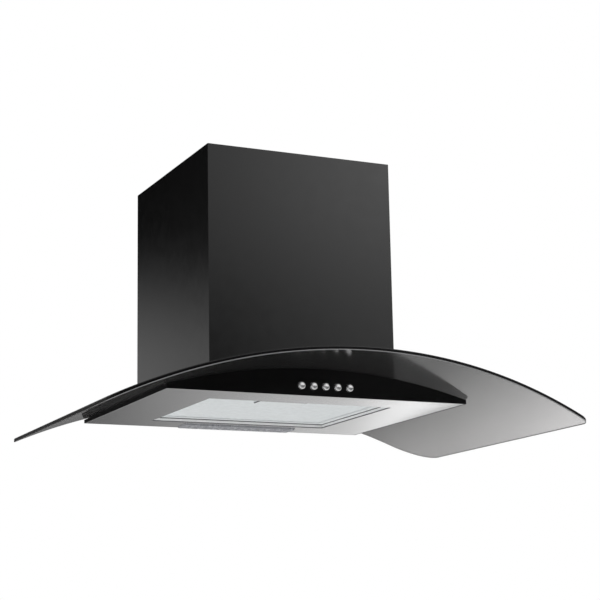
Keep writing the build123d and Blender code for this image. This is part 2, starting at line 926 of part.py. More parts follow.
with BuildPart() as motor_housing:
    with BuildSketch(motor_face):
        Circle(motor_radius)
    extrude(amount=motor_length - motor_wall)
    with BuildSketch(motor_face.offset(motor_wall)):
        Circle(motor_radius - motor_wall)
    extrude(amount=motor_length, mode=Mode.SUBTRACT)
    with BuildSketch(motor_face.offset(motor_wall)):
        Circle(bearing_radius + bearing_seat_wall)
    extrude(amount=bearing_width)
    with BuildSketch(motor_face.offset(motor_wall)):
        Circle(bearing_radius + running_gap)
    extrude(amount=bearing_width, mode=Mode.SUBTRACT)
    with BuildSketch(motor_face):
        Circle(shaft_radius + slide_gap)
    extrude(amount=motor_wall, mode=Mode.SUBTRACT)
save(motor_housing, "motor_housing")

with BuildPart() as motor_end_cover:
    with BuildSketch(motor_end):
        Circle(motor_radius)
    extrude(amount=-motor_wall)
    with BuildSketch(motor_end.offset(-motor_wall)):
        Circle(bearing_radius + bearing_seat_wall)
        Circle(bearing_radius + running_gap, mode=Mode.SUBTRACT)
    extrude(amount=-bearing_width)
    with BuildSketch(motor_end):
        Circle(shaft_radius + slide_gap)
    extrude(amount=-motor_wall, mode=Mode.SUBTRACT)
save(motor_end_cover, "motor_end_cover")

with BuildPart() as motor_bearings:
    with BuildSketch(
        motor_face.offset(motor_wall), motor_end.offset(-motor_wall - bearing_width)
    ):
        Circle(bearing_radius)
        Circle(shaft_radius + running_gap, mode=Mode.SUBTRACT)
    extrude(amount=bearing_width)
save(motor_bearings, "motor_bearings")

with BuildPart() as motor_stator:
    with BuildSketch(motor_middle):
        Circle(motor_radius - motor_wall - running_gap)
        with PolarLocations(stator_inner_radius, stator_slots):
            Rectangle(motor_radius / 2, stator_slot_width, mode=Mode.SUBTRACT)
        Circle(stator_inner_radius, mode=Mode.SUBTRACT)
    extrude(amount=stator_length / 2, both=True)
save(motor_stator, "motor_stator")

with BuildPart() as motor_rotor:
    with BuildSketch(motor_middle):
        Circle(rotor_radius)
        Circle(shaft_radius + running_gap / 2, mode=Mode.SUBTRACT)
    extrude(amount=stator_length / 2, both=True)
save(motor_rotor, "motor_rotor")

with BuildPart() as motor_shaft:
    with BuildSketch(fan_plane.offset(-hub_reach - shaft_tail)):
        Circle(shaft_radius)
    extrude(amount=hub_reach + shaft_tail + motor_start + motor_length + shaft_tail)
save(motor_shaft, "motor_shaft")

# Three arms carry the motor off the side of the scroll through rubber bushes.
arm_count = 3
arm_width = 14.0
arm_thickness = 2.0
bush_radius = 5.0
mounting_radius = 72.0
bush_thickness = 2.0
motor_screw_radius = 2.0
boss_clear_radius = 14.0
scroll_side = fan_plane.offset(volute_width / 2)
with BuildPart() as motor_bracket:
    with BuildSketch(motor_end):
        Circle(motor_radius / 2)
        with PolarLocations(mounting_radius / 2, arm_count):
            Rectangle(mounting_radius, arm_width)
        with PolarLocations(mounting_radius, arm_count):
            Circle(arm_width / 2)
        Circle(boss_clear_radius, mode=Mode.SUBTRACT)
    extrude(amount=arm_thickness)
    with BuildSketch(scroll_side.offset(bush_thickness)):
        with PolarLocations(mounting_radius, arm_count):
            Circle(bush_radius)
    extrude(amount=motor_start + motor_length - volute_width / 2 - bush_thickness)
    with BuildSketch(motor_end.offset(arm_thickness)):
        with PolarLocations(mounting_radius, arm_count):
            Circle(motor_screw_radius + flat_gap)
    extrude(amount=-motor_length, mode=Mode.SUBTRACT)
save(motor_bracket, "motor_bracket")

with BuildPart() as motor_bushes:
    with BuildSketch(scroll_side):
        with PolarLocations(mounting_radius, arm_count):
            Circle(bush_radius)
            Circle(motor_screw_radius + flat_gap, mode=Mode.SUBTRACT)
    extrude(amount=bush_thickness)
save(motor_bushes, "motor_bushes")

motor_screw_reach = motor_start + motor_length + arm_thickness - volute_width / 2
motor_screw_planes = [
    Plane(
        origin=(
            motor_start + motor_length + arm_thickness,
            fan_y + mounting_radius * cos(radians(360 * arm / arm_count)),
            fan_z + mounting_radius * sin(radians(360 * arm / arm_count)),
        ),
        x_dir=(0, 1, 0),
        z_dir=(1, 0, 0),
    )
    for arm in range(arm_count)
]
screw_set("motor_screws", motor_screw_planes, motor_screw_radius, motor_screw_reach)

# ---------------------------------------------------------------- outlet and its back-draught flaps
spigot_rise = 45.0
flap_seat_rise = 9.0
flap_seat_thickness = 2.0
flap_seat_width = 3.0
flap_bar_width = 5.0
flap_thickness = 1.5
flap_barrel_radius = 2.0
flap_axis_offset = 4.5
flap_pin_radius = 1.5
flap_side_gap = 1.5
spigot_bore = spigot_radius - spigot_wall
flap_radius = spigot_bore - flap_side_gap
flap_base_z = box_top_z + flap_seat_rise + flap_seat_thickness + slide_gap
flap_axis_z = flap_base_z + flap_barrel_radius
spigot_base = Plane.XY.move(Location((0, spigot_y, box_top_z)))
flap_axes = [
    Plane(
        origin=(0, spigot_y + side * flap_axis_offset, flap_axis_z),
        x_dir=(0, 1, 0),
        z_dir=(1, 0, 0),
    )
    for side in (-1, 1)
]

with BuildPart() as outlet_spigot:
    with BuildSketch(spigot_base):
        RectangleRounded(spigot_flange, spigot_flange, spigot_flange / 16)
    extrude(amount=spigot_flange_thickness)
    with BuildSketch(spigot_base):
        Circle(spigot_radius)
    extrude(amount=spigot_rise)
    with BuildSketch(spigot_base):
        Circle(spigot_bore)
    extrude(amount=spigot_rise, mode=Mode.SUBTRACT)
    with BuildSketch(spigot_base.offset(flap_seat_rise)):
        Circle(spigot_radius - spigot_wall / 2)
        Circle(spigot_bore - flap_seat_width, mode=Mode.SUBTRACT)
        Rectangle(2 * spigot_bore - flap_seat_width, flap_bar_width)
    extrude(amount=flap_seat_thickness)
    with BuildSketch(*flap_axes):
        Circle(flap_pin_radius + running_gap)
    extrude(amount=spigot_radius, both=True, mode=Mode.SUBTRACT)
    drill(spigot_screw_planes, spigot_screw_radius + flat_gap, spigot_flange_thickness)
save(outlet_spigot, "outlet_spigot")
screw_set(
    "spigot_screws",
    spigot_screw_planes,
    spigot_screw_radius,
    spigot_flange_thickness + sheet + volute_sheet,
)

for side, name in ((-1, "flap_front"), (1, "flap_rear")):
    axis = flap_axes[(side + 1) // 2]
    barrel_half = sqrt(flap_radius**2 - flap_axis_offset**2)
    pin_end = sqrt(spigot_radius**2 - flap_axis_offset**2)
    with BuildPart() as flap:
        with BuildSketch(Plane.XY.offset(flap_base_z)):
            with Locations((0, spigot_y)):
                Circle(flap_radius)
            with Locations((0, spigot_y + side * (flap_axis_offset + spigot_radius))):
                Rectangle(2 * spigot_radius, 2 * spigot_radius, mode=Mode.INTERSECT)
        extrude(amount=flap_thickness)
        with BuildSketch(axis):
            Circle(flap_barrel_radius)
        extrude(amount=barrel_half, both=True)
        with BuildSketch(axis):
            Circle(flap_pin_radius)
        extrude(amount=pin_end, both=True)
    save(flap, name)

# ---------------------------------------------------------------- lower chimney
with BuildPart() as chimney_lower:
    with BuildSketch(Plane.XY.offset(underside_z)):
        with Locations((0, -chimney_depth / 2)):
            Rectangle(chimney_width, chimney_depth)
        with Locations((0, sheet - chimney_depth / 2)):
            Rectangle(chimney_width - 2 * sheet, chimney_depth, mode=Mode.SUBTRACT)
        for side in (-1, 1):
            with Locations((side * (chimney_width - lip_width) / 2, lip_face_y + sheet / 2)):
                Rectangle(lip_width, sheet)
    extrude(amount=chimney_rise)
    extrude(arch_disc(glass_radius + curved_gap), amount=chimney_depth, mode=Mode.SUBTRACT)
    drill(chimney_screw_planes, chimney_screw_radius + flat_gap, sheet)
save(chimney_lower, "chimney_lower")
screw_set(
    "chimney_screws",
    chimney_screw_planes,
    chimney_screw_radius,
    sheet + lip_standoff + wall_plate_thickness,
)

# ---------------------------------------------------------------- upper chimney, telescoped down
telescope_gap = 0.8
upper_lip_width = 12.0
upper_lip_y = -9.0
top_setback = 1.0
vent_count = 7
vent_pitch = 11.0
vent_length = 90.0
vent_width = 4.0
vent_drop = 70.0
bracket_rise = 24.0
bracket_drop = 30.0
bracket_sheet = 1.5
bracket_back_inset = 24.2
bracket_joggle = 6.0
bracket_hole_spacing = 160.0
bracket_hole_radius_wall = 3.0
bracket_screw_radius = 1.5
upper_width = chimney_width - 2 * (sheet + telescope_gap)
bracket_back_half = upper_width / 2 - bracket_back_inset
bracket_screw_x = (upper_width - upper_lip_width) / 2
upper_front_y = -(chimney_depth - sheet - telescope_gap)
upper_base_z = glass_crown_z + slide_gap
upper_top_z = chimney_top_z - top_setback
upper_rise = upper_top_z - upper_base_z
bracket_z = upper_top_z - bracket_drop - bracket_rise
bracket_screw_planes = [
    Plane(
        origin=(side * bracket_screw_x, upper_lip_y - bracket_sheet, bracket_z + bracket_rise / 2),
        x_dir=(1, 0, 0),
        z_dir=(0, -1, 0),
    )
    for side in (-1, 1)
]

with BuildPart() as chimney_upper:
    upper_side_depth = upper_lip_y + sheet - upper_front_y
    with BuildSketch(Plane.XY.offset(upper_base_z)):
        with Locations((0, upper_front_y + upper_side_depth / 2)):
            Rectangle(upper_width, upper_side_depth)
        with Locations((0, upper_front_y + sheet + upper_side_depth / 2)):
            Rectangle(upper_width - 2 * sheet, upper_side_depth, mode=Mode.SUBTRACT)
        for side in (-1, 1):
            with Locations((side * (upper_width - upper_lip_width) / 2, upper_lip_y + sheet / 2)):
                Rectangle(upper_lip_width, sheet)
    extrude(amount=upper_rise)
    with BuildSketch(Plane.YZ):
        with Locations((upper_front_y / 2, upper_top_z - vent_drop)):
            with GridLocations(0, vent_pitch, 1, vent_count):
                SlotOverall(vent_length, vent_width)
    extrude(amount=upper_width, both=True, mode=Mode.SUBTRACT)
    drill(bracket_screw_planes, bracket_screw_radius + flat_gap, bracket_sheet + sheet)
save(chimney_upper, "chimney_upper")

# The strap that holds the top of the upper chimney to the wall, joggled round its lips.
with BuildPart() as chimney_bracket:
    wing_y = upper_lip_y - bracket_sheet / 2
    wing_start = bracket_back_half + bracket_joggle
    wing_end = upper_width / 2 - sheet - slide_gap
    with BuildSketch(Plane.XY.offset(bracket_z)):
        with Locations((0, -bracket_sheet / 2)):
            Rectangle(2 * bracket_back_half, bracket_sheet)
        for side in (-1, 1):
            with Locations((side * (wing_start + wing_end) / 2, wing_y)):
                Rectangle(wing_end - wing_start, bracket_sheet)
            with BuildLine():
                Polyline(
                    (side * (bracket_back_half - bracket_sheet), 0),
                    (side * bracket_back_half, 0),
                    (side * (wing_start + bracket_sheet), upper_lip_y),
                    (side * (wing_start + bracket_sheet), upper_lip_y - bracket_sheet),
                    (side * wing_start, upper_lip_y - bracket_sheet),
                    (side * (bracket_back_half - bracket_sheet), -bracket_sheet),
                    close=True,
                )
            make_face()
    extrude(amount=bracket_rise)
    with BuildSketch(Plane.XZ):
        with Locations((0, bracket_z + bracket_rise / 2)):
            with GridLocations(bracket_hole_spacing, 0, 2, 1):
                Circle(bracket_hole_radius_wall)
    extrude(amount=bracket_sheet, mode=Mode.SUBTRACT)
    drill(bracket_screw_planes, bracket_screw_radius + flat_gap, bracket_sheet)
save(chimney_bracket, "chimney_bracket")
screw_set("bracket_screws", bracket_screw_planes, bracket_screw_radius, bracket_sheet + sheet)

# ---------------------------------------------------------------- wiring pieces on the blower box
terminal_width = 60.0
terminal_depth = 40.0
terminal_rise = 26.0
terminal_wall = 2.0
terminal_lid_thickness = 2.5
terminal_inset = 52.0
terminal_y = -42.0
terminal_place = (terminal_inset - box_width / 2, terminal_y)
gland_radius = 9.0
gland_nut_radius = 11.0
gland_rise = 16.0
gland_bore_radius = 4.0
lid_base_z = box_top_z + terminal_rise
lid_top_z = lid_base_z + terminal_lid_thickness

with BuildPart() as terminal_box:
    block(terminal_width, terminal_depth, terminal_rise, terminal_place, box_top_z)
    fillet(terminal_box.edges().filter_by(Axis.Z), terminal_wall)
    block(
        terminal_width - 2 * terminal_wall,
        terminal_depth - 2 * terminal_wall,
        terminal_rise - terminal_wall,
        terminal_place,
        box_top_z + terminal_wall,
        Mode.SUBTRACT,
    )
save(terminal_box, "terminal_box")

gland_plane = Plane.XY.move(Location((*terminal_place, lid_top_z)))
with BuildPart() as terminal_lid:
    block(terminal_width, terminal_depth, terminal_lid_thickness, terminal_place, lid_base_z)
    fillet(terminal_lid.edges().filter_by(Axis.Z), terminal_wall)
    drill([gland_plane], gland_radius + flat_gap, terminal_lid_thickness)
save(terminal_lid, "terminal_lid")

with BuildPart() as cable_gland:
    with BuildSketch(gland_plane.offset(-terminal_lid_thickness)):
        Circle(gland_radius)
    extrude(amount=terminal_lid_thickness)
    with BuildSketch(gland_plane):
        RegularPolygon(gland_nut_radius, 6)
    extrude(amount=gland_rise / 2)
    with BuildSketch(gland_plane.offset(gland_rise / 2)):
        Circle(gland_radius)
    extrude(amount=gland_rise / 2)
    fillet(cable_gland.edges().group_by(Axis.Z)[-1], gland_radius / 4)
    with BuildSketch(gland_plane.offset(-terminal_lid_thickness)):
        Circle(gland_bore_radius)
    extrude(amount=terminal_lid_thickness + gland_rise, mode=Mode.SUBTRACT)
save(cable_gland, "cable_gland")

capacitor_radius = 14.0
capacitor_length = 55.0
capacitor_corner = 1.5
capacitor_inset = 52.0
capacitor_x = box_width / 2 - capacitor_inset
capacitor_y = -40.0
clip_sheet = 1.0
clip_width = 12.0
clip_foot = 8.0
capacitor_axis = Plane(
    origin=(capacitor_x, capacitor_y, box_top_z + capacitor_radius + clip_sheet + flat_gap),
    x_dir=(0, 1, 0),
    z_dir=(1, 0, 0),
)
with BuildPart() as capacitor:
    with BuildSketch(capacitor_axis):
        Circle(capacitor_radius)
    extrude(amount=capacitor_length / 2, both=True)
    fillet(capacitor.edges(), capacitor_corner)
save(capacitor, "capacitor")

with BuildPart() as capacitor_clip:
    clip_inner = capacitor_radius + flat_gap
    clip_outer = clip_inner + clip_sheet
    with BuildSketch(capacitor_axis):
        Circle(clip_outer)
        with Locations((0, clip_sheet / 2 - clip_outer)):
            Rectangle(2 * (clip_outer + clip_foot), clip_sheet)
        Circle(clip_inner, mode=Mode.SUBTRACT)
    extrude(amount=clip_width / 2, both=True)
save(capacitor_clip, "capacitor_clip")

print("glass drop", round(glass_drop, 2), "crown above the underside", round(glass_crown_rise, 2))
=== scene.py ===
import json
from math import asin, atan2, cos, pi, radians, sin, sqrt, tau

import bmesh
import bpy
from mathutils import Matrix, Vector


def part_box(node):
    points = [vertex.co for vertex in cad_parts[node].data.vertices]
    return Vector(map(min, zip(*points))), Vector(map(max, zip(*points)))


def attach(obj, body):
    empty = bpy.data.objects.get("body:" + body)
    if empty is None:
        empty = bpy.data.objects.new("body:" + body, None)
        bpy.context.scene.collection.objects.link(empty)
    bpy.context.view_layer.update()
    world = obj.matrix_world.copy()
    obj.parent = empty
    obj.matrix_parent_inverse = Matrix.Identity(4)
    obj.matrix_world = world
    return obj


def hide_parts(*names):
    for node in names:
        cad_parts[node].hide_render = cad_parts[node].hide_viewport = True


# A wall-mounted cooker hood under curved smoked glass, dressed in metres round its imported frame.
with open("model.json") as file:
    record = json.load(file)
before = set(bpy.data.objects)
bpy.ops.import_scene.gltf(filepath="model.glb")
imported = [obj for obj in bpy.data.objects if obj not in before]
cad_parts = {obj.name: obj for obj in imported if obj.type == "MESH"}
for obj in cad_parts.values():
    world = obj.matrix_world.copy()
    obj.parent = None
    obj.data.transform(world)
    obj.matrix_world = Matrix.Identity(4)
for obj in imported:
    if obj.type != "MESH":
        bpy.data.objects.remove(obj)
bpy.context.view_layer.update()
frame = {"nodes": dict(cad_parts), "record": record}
MM = 0.001


# ---------------------------------------------------------------- materials
# The smoke tint is graded between these distances from the middle: darker over the body as painted
# shade, paler toward both tips as painted light.
TINT_START = 0.14
TINT_END = 0.4
TINT_PAINTED_SHADE = (0.18, 0.18, 0.18)
TINT_PAINTED_LIGHT = (0.8, 0.785, 0.79)
GLASS_FROST = 0.09
TIP_FROST = 0.02
FROST_END = 0.8
GLASS_CLEARNESS = 0.93
GLASS_IOR = 1.52
DARK_SHARE = 0.85


class Finish:
    """One node material: a Principled shader and whatever feeds it."""

    def __init__(self, name, color, roughness, metallic=0.0):
        self.material = bpy.data.materials.new(name)
        self.material.use_nodes = True
        self.tree = self.material.node_tree
        self.shader = self.tree.nodes["Principled BSDF"]
        self.place = self.add("ShaderNodeTexCoord").outputs["Object"]
        self.set(**{"Base Color": (*color, 1.0), "Roughness": roughness, "Metallic": metallic})

    def set(self, **values):
        for socket, value in values.items():
            self.shader.inputs[socket].default_value = value
        return self

    def add(self, kind, inputs=None, **settings):
        node = self.tree.nodes.new(kind)
        for key, value in settings.items():
            setattr(node, key, value)
        for key, value in (inputs or {}).items():
            if isinstance(value, bpy.types.NodeSocket):
                self.tree.links.new(value, node.inputs[key])
            else:
                node.inputs[key].default_value = value
        return node

    def link(self, output, socket):
        self.tree.links.new(output, self.shader.inputs[socket])

    def noise(self, scale, detail=3.0, stretch=(1, 1, 1)):
        """Noise with this many features to the metre, drawn out along an axis by stretch."""
        place = self.add("ShaderNodeMapping", {"Vector": self.place, "Scale": stretch})
        texture = self.add(
            "ShaderNodeTexNoise",
            {"Vector": place.outputs["Vector"], "Scale": scale, "Detail": detail},
        )
        return texture.outputs["Fac"]

    def spread(self, value, low, high):
        """Middle of a noise stretched over low to high."""
        node = self.add(
            "ShaderNodeMapRange",
            {"Value": value, "From Min": 0.3, "From Max": 0.7, "To Min": low, "To Max": high},
        )
        return node.outputs["Result"]

    def rough(self, value, low, high):
        self.link(self.spread(value, low, high), "Roughness")
        return self

    def tint(self, value, dark, light):
        """Colour that runs between two shades as the value does."""
        mix = self.add("ShaderNodeMix", {"Factor": self.spread(value, 0.0, 1.0)}, data_type="RGBA")
        mix.inputs[6].default_value = (*dark, 1.0)
        mix.inputs[7].default_value = (*light, 1.0)
        self.link(mix.outputs[2], "Base Color")
        return self

    def bump(self, value, height, strength=1.0):
        node = self.add(
            "ShaderNodeBump", {"Height": value, "Distance": height, "Strength": strength}
        )
        self.link(node.outputs["Normal"], "Normal")
        return self


def black_paint():
    """Satin powder coat: near black, with a fine skin."""
    finish = Finish("black_paint", (0.0012, 0.0012, 0.0013), 0.13)
    finish.set(IOR=1.7)
    finish.rough(finish.noise(60), 0.12, 0.15)
    finish.bump(finish.noise(1600, 2.0), 0.01 * MM, 0.03)
    return finish


def black_gloss():
    """Gloss enamel of the front plate."""
    finish = Finish("black_gloss", (0.004, 0.004, 0.0042), 0.12)
    finish.set(IOR=1.2)
    finish.rough(finish.noise(40), 0.1, 0.14)
    finish.bump(finish.noise(30, 2.0), 0.005 * MM, 0.1)
    return finish


def black_matt():
    """Dull primer coat of the body under the glass."""
    finish = Finish("black_matt", (0.004, 0.004, 0.0042), 0.5)
    finish.set(IOR=1.12)
    finish.rough(finish.noise(80), 0.45, 0.55)
    return finish


def smoked_glass():
    """Float glass with a smoke tint, graded deep over the body as painted shade and lighter toward
    both tips as painted light.
    """
    finish = Finish("smoked_glass", (0.3, 0.3, 0.3), 0.0)
    finish.set(**{"Transmission Weight": GLASS_CLEARNESS, "IOR": GLASS_IOR})
    across = finish.add("ShaderNodeSeparateXYZ", {"Vector": finish.place})
    from_middle = finish.add("ShaderNodeMath", {0: across.outputs["X"]}, operation="ABSOLUTE")
    tint = finish.add(
        "ShaderNodeMapRange",
        {
            "Value": from_middle.outputs["Value"],
            "From Min": TINT_START,
            "From Max": TINT_END,
            "To Min": 0.0,
            "To Max": 1.0,
        },
        interpolation_type="SMOOTHSTEP",
    )
    # Painted shade over the middle and painted light toward the tips, mixed into the smoke tint.
    mix = finish.add("ShaderNodeMix", {"Factor": tint.outputs["Result"]}, data_type="RGBA")
    mix.inputs[6].default_value = (*TINT_PAINTED_SHADE, 1.0)
    mix.inputs[7].default_value = (*TINT_PAINTED_LIGHT, 1.0)
    finish.link(mix.outputs[2], "Base Color")
    frost = finish.add(
        "ShaderNodeMapRange",
        {
            "Value": tint.outputs["Result"],
            "From Min": 0.0,
            "From Max": FROST_END,
            "To Min": GLASS_FROST,
            "To Max": TIP_FROST,
        },
    )
    finish.link(frost.outputs["Result"], "Roughness")
    return finish


def glass_edge(name, color, roughness, clear, ior=GLASS_IOR):
    """Ground edge of the glass."""
    finish = Finish(name, color, roughness)
    finish.set(**{"Transmission Weight": clear, "IOR": ior})
    finish.rough(finish.noise(300), roughness, roughness + 0.1)
    return finish


def stainless():
    """Satin stainless, brushed across the hood."""
    finish = Finish("stainless", (0.6, 0.6, 0.6), 0.3, 1.0)
    grain = finish.noise(900, 4.0, (0.02, 1, 1))
    finish.rough(grain, 0.13, 0.2)
    finish.tint(grain, (0.58, 0.58, 0.585), (0.64, 0.64, 0.64))
    finish.bump(grain, 0.01 * MM, 0.12)
    return finish


def highlight_stainless():
    """The same steel where it is drawn up into the recess, painted near white as a painted
    highlight.
    """
    finish = Finish("stainless_painted_highlight", (0.95, 0.95, 0.95), 0.5, 0.15)
    finish.rough(finish.noise(200), 0.48, 0.58)
    finish.tint(finish.noise(90), (0.94, 0.95, 0.96), (0.98, 0.98, 0.98))
    return finish


def shaded_stainless():
    """The same steel round a tight bend, painted dark as painted shade."""
    finish = Finish("stainless_painted_shade", (0.14, 0.14, 0.15), 0.35, 0.9)
    finish.rough(finish.noise(200), 0.3, 0.42)
    finish.tint(finish.noise(90), (0.12, 0.12, 0.13), (0.17, 0.17, 0.18))
    return finish


def mesh_aluminium():
    """Bright rolled aluminium of the filter."""
    finish = Finish("filter_aluminium", (0.88, 0.885, 0.89), 0.5, 0.6)
    finish.rough(finish.noise(300), 0.45, 0.6)
    finish.tint(finish.noise(120), (0.78, 0.805, 0.82), (0.84, 0.87, 0.885))
    finish.bump(finish.noise(2500, 2.0), 0.01 * MM, 0.3)
    return finish


def chrome():
    """Polished plating of the buttons."""
    finish = Finish("chrome", (0.83, 0.83, 0.84), 0.06, 1.0)
    finish.rough(finish.noise(250), 0.04, 0.1)
    finish.bump(finish.noise(1500, 2.0), 0.003 * MM, 0.2)
    return finish


def zinc_steel():
    """Galvanised sheet with its spangle."""
    finish = Finish("zinc_steel", (0.5, 0.52, 0.53), 0.4, 1.0)
    spangle = finish.add(
        "ShaderNodeTexVoronoi", {"Vector": finish.place, "Scale": 260.0}, feature="F1"
    )
    shade = finish.add("ShaderNodeSeparateColor", {"Color": spangle.outputs["Color"]})
    finish.rough(shade.outputs["Red"], 0.38, 0.44)
    finish.tint(shade.outputs["Green"], (0.5, 0.52, 0.535), (0.54, 0.56, 0.57))
    finish.bump(finish.noise(900), 0.01 * MM, 0.3)
    return finish


def plated_steel(name="fastener_steel", color=(0.6, 0.6, 0.59), roughness=0.3):
    """Turned, drawn or plated steel, a little uneven in tone."""
    finish = Finish(name, color, roughness, 1.0)
    finish.rough(finish.noise(800), roughness - 0.06, roughness + 0.1)
    finish.tint(finish.noise(200), tuple(DARK_SHARE * c for c in color), color)
    return finish


def moulded(name, color, roughness=0.5, grain=0.03):
    """Moulded plastic with a fine spark-eroded skin."""
    finish = Finish(name, color, roughness)
    finish.rough(finish.noise(90), roughness - 0.06, roughness + 0.06)
    finish.tint(finish.noise(40), tuple(DARK_SHARE * c for c in color), color)
    finish.bump(finish.noise(2200, 2.0), grain * MM, 0.5)
    return finish


def clear_plastic():
    """Frosted cover of the lamp."""
    finish = Finish("clear_plastic", (0.47, 0.48, 0.52), 0.25)
    finish.set(**{"Transmission Weight": 0.35, "IOR": 1.49})
    finish.rough(finish.noise(120), 0.2, 0.3)
    finish.bump(finish.noise(700, 2.0), 0.01 * MM, 0.1)
    return finish


def bulb_glass():
    """Clear glass of the bulb."""
    finish = Finish("bulb_glass", (0.95, 0.95, 0.93), 0.03)
    finish.set(**{"Transmission Weight": 0.8, "IOR": 1.5})
    finish.rough(finish.noise(60), 0.02, 0.08)
    return finish


FINISHES = {
    "black_paint": black_paint(),
    "smoked_glass": smoked_glass(),
    "stainless": stainless(),
    "filter_aluminium": mesh_aluminium(),
    "chrome": chrome(),
    "zinc_steel": zinc_steel(),
    "fastener_steel": plated_steel(),
    "bearing_steel": plated_steel("bearing_steel", (0.65, 0.65, 0.66), 0.2),
    "motor_steel": plated_steel("motor_steel", (0.3, 0.31, 0.33), 0.42),
    "black_plastic": moulded("black_plastic", (0.022, 0.022, 0.023)),
    "white_reflector": moulded("white_reflector", (0.78, 0.78, 0.75), 0.35, 0.01),
    "lamp_ceramic": moulded("lamp_ceramic", (0.72, 0.7, 0.65), 0.3, 0.02),
    "bulb_glass": bulb_glass(),
    "clear_plastic": clear_plastic(),
    "capacitor_white": moulded("capacitor_white", (0.7, 0.7, 0.67), 0.35, 0.01),
    "stainless_painted_shade": shaded_stainless(),
    "rubber": moulded("rubber", (0.02, 0.02, 0.02), 0.75, 0.05),
}

SLOT_OF = {row["node"]: row["material_slot"] for row in frame["record"]["subparts"]}
OWN_FINISHES = {"front_fascia": black_gloss(), "hood_body": black_matt()}
for node, thing in frame["nodes"].items():
    finish = OWN_FINISHES.get(node, FINISHES[SLOT_OF[node]])
    thing.data.materials.clear()
    thing.data.materials.append(finish.material)


# ---------------------------------------------------------------- making pieces
WELD = 0.001 * MM
FOLD = 35
PRESS_FOLD = 40
PRESS_STEPS = 4
PRESS_CORNER_STEPS = 5
CORNER_STEPS = 6


def add_piece(name, mesh, slots, body, *nodes):
    """A piece of the dressed hood, riding on a body and standing for these CAD nodes."""
    thing = bpy.data.objects.new(name, mesh)
    bpy.context.scene.collection.objects.link(thing)
    for finish in slots:
        mesh.materials.append(finish.material)
    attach(thing, body)
    if nodes:
        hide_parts(*nodes)
    return thing


def mesh_of(name, shell, smooth_below=FOLD):
    """The finished mesh of a bmesh, smooth except over its folds."""
    bmesh.ops.recalc_face_normals(shell, faces=shell.faces)
    for face in shell.faces:
        face.smooth = True
    for edge in shell.edges:
        edge.smooth = len(edge.link_faces) == 2 and edge.calc_face_angle(0) < radians(smooth_below)
    mesh = bpy.data.meshes.new(name)
    shell.to_mesh(mesh)
    shell.free()
    return mesh


def even_normals(thing):
    """Broad flats keep their own normal, and the bends beside them take up the turn."""
    even = thing.modifiers.new("even_normals", "WEIGHTED_NORMAL")
    even.keep_sharp = True


def arc(centre, radius, start, end, count):
    """Points on an arc, from one angle to another, in radians."""
    steps = [start + (end - start) * index / count for index in range(count + 1)]
    return [(centre[0] + radius * cos(t), centre[1] + radius * sin(t)) for t in steps]


def bridge(shell, first, second, finish=0):
    """Quads between two closed rings of as many corners, in the piece's finish of this number."""
    count = len(first)
    for index in range(count):
        after = (index + 1) % count
        face = shell.faces.new((first[index], first[after], second[after], second[index]))
        face.material_index = finish


def rounded_ring(shell, low, high, turn, z, count=CORNER_STEPS):
    """Ring of corners round a rectangle from low to high, with its corners rounded."""
    quarters = (
        ((high[0] - turn, high[1] - turn), 0),
        ((low[0] + turn, high[1] - turn), pi / 2),
        ((low[0] + turn, low[1] + turn), pi),
        ((high[0] - turn, low[1] + turn), 3 * pi / 2),
    )
    places = []
    for centre, start in quarters:
        places += arc(centre, turn, start, start + pi / 2, count)
    return [shell.verts.new((x, y, z)) for x, y in places]


def press_bend(radius):
    """A pressed sheet's quarter turn, as (inset, rise), from its side down to its face."""
    return arc((radius, radius), radius, pi, 3 * pi / 2, PRESS_STEPS)


def fill_between(shell, loops):
    """Flat faces inside the first closed ring and outside the others."""
    edges = []
    for ring in loops:
        for index, corner in enumerate(ring):
            pair = (ring[index - 1], corner)
            edges.append(shell.edges.get(pair) or shell.edges.new(pair))
    filled = bmesh.ops.triangle_fill(shell, edges=edges, use_beauty=True)
    return [thing for thing in filled["geom"] if isinstance(thing, bmesh.types.BMFace)]


# ---------------------------------------------------------------- curved glass
GLASS_THICKNESS = 5 * MM
GLASS_BOW = 20 * MM
GLASS_FRONT_CORNER = 14 * MM
GLASS_REAR_CORNER = 58 * MM
GLASS_ARRIS = 0.9 * MM
NOTCH_MARGIN = 13 * MM
NOTCH_FRONT_MARGIN = 24 * MM
NOTCH_CORNER = 8 * MM
HOLE_RADIUS = 4 * MM
WASHER_RADIUS = 8 * MM
REAR_CORNER_STEPS = 24
FRONT_CORNER_STEPS = 12
FRONT_STEPS = 90
NOTCH_STEPS = 8
HOLE_STEPS = 28
ARCH_STEPS = 140
CUT_REACH = 1e-7
FRONT_NORMAL_Y = -0.35
LEANING_NORMAL_Z = 0.4
FACE, FRONT_EDGE, ARRIS, SIDE_EDGE = range(4)

glass_low, glass_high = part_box("glass_canopy")
chimney_low, chimney_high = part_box("chimney_lower")
glass_half = (glass_high[0] - glass_low[0]) / 2
glass_depth = glass_high[1] - glass_low[1]
glass_rise = glass_high[2] - glass_low[2]
arch_radius = (glass_half**2 + glass_rise**2 - GLASS_THICKNESS**2) / (
    2 * (glass_rise - GLASS_THICKNESS)
)
arch_axis_z = glass_high[2] - arch_radius


def arch_z(x, radius):
    """Height over x of an arch of this radius."""
    return arch_axis_z + sqrt(radius**2 - x**2)


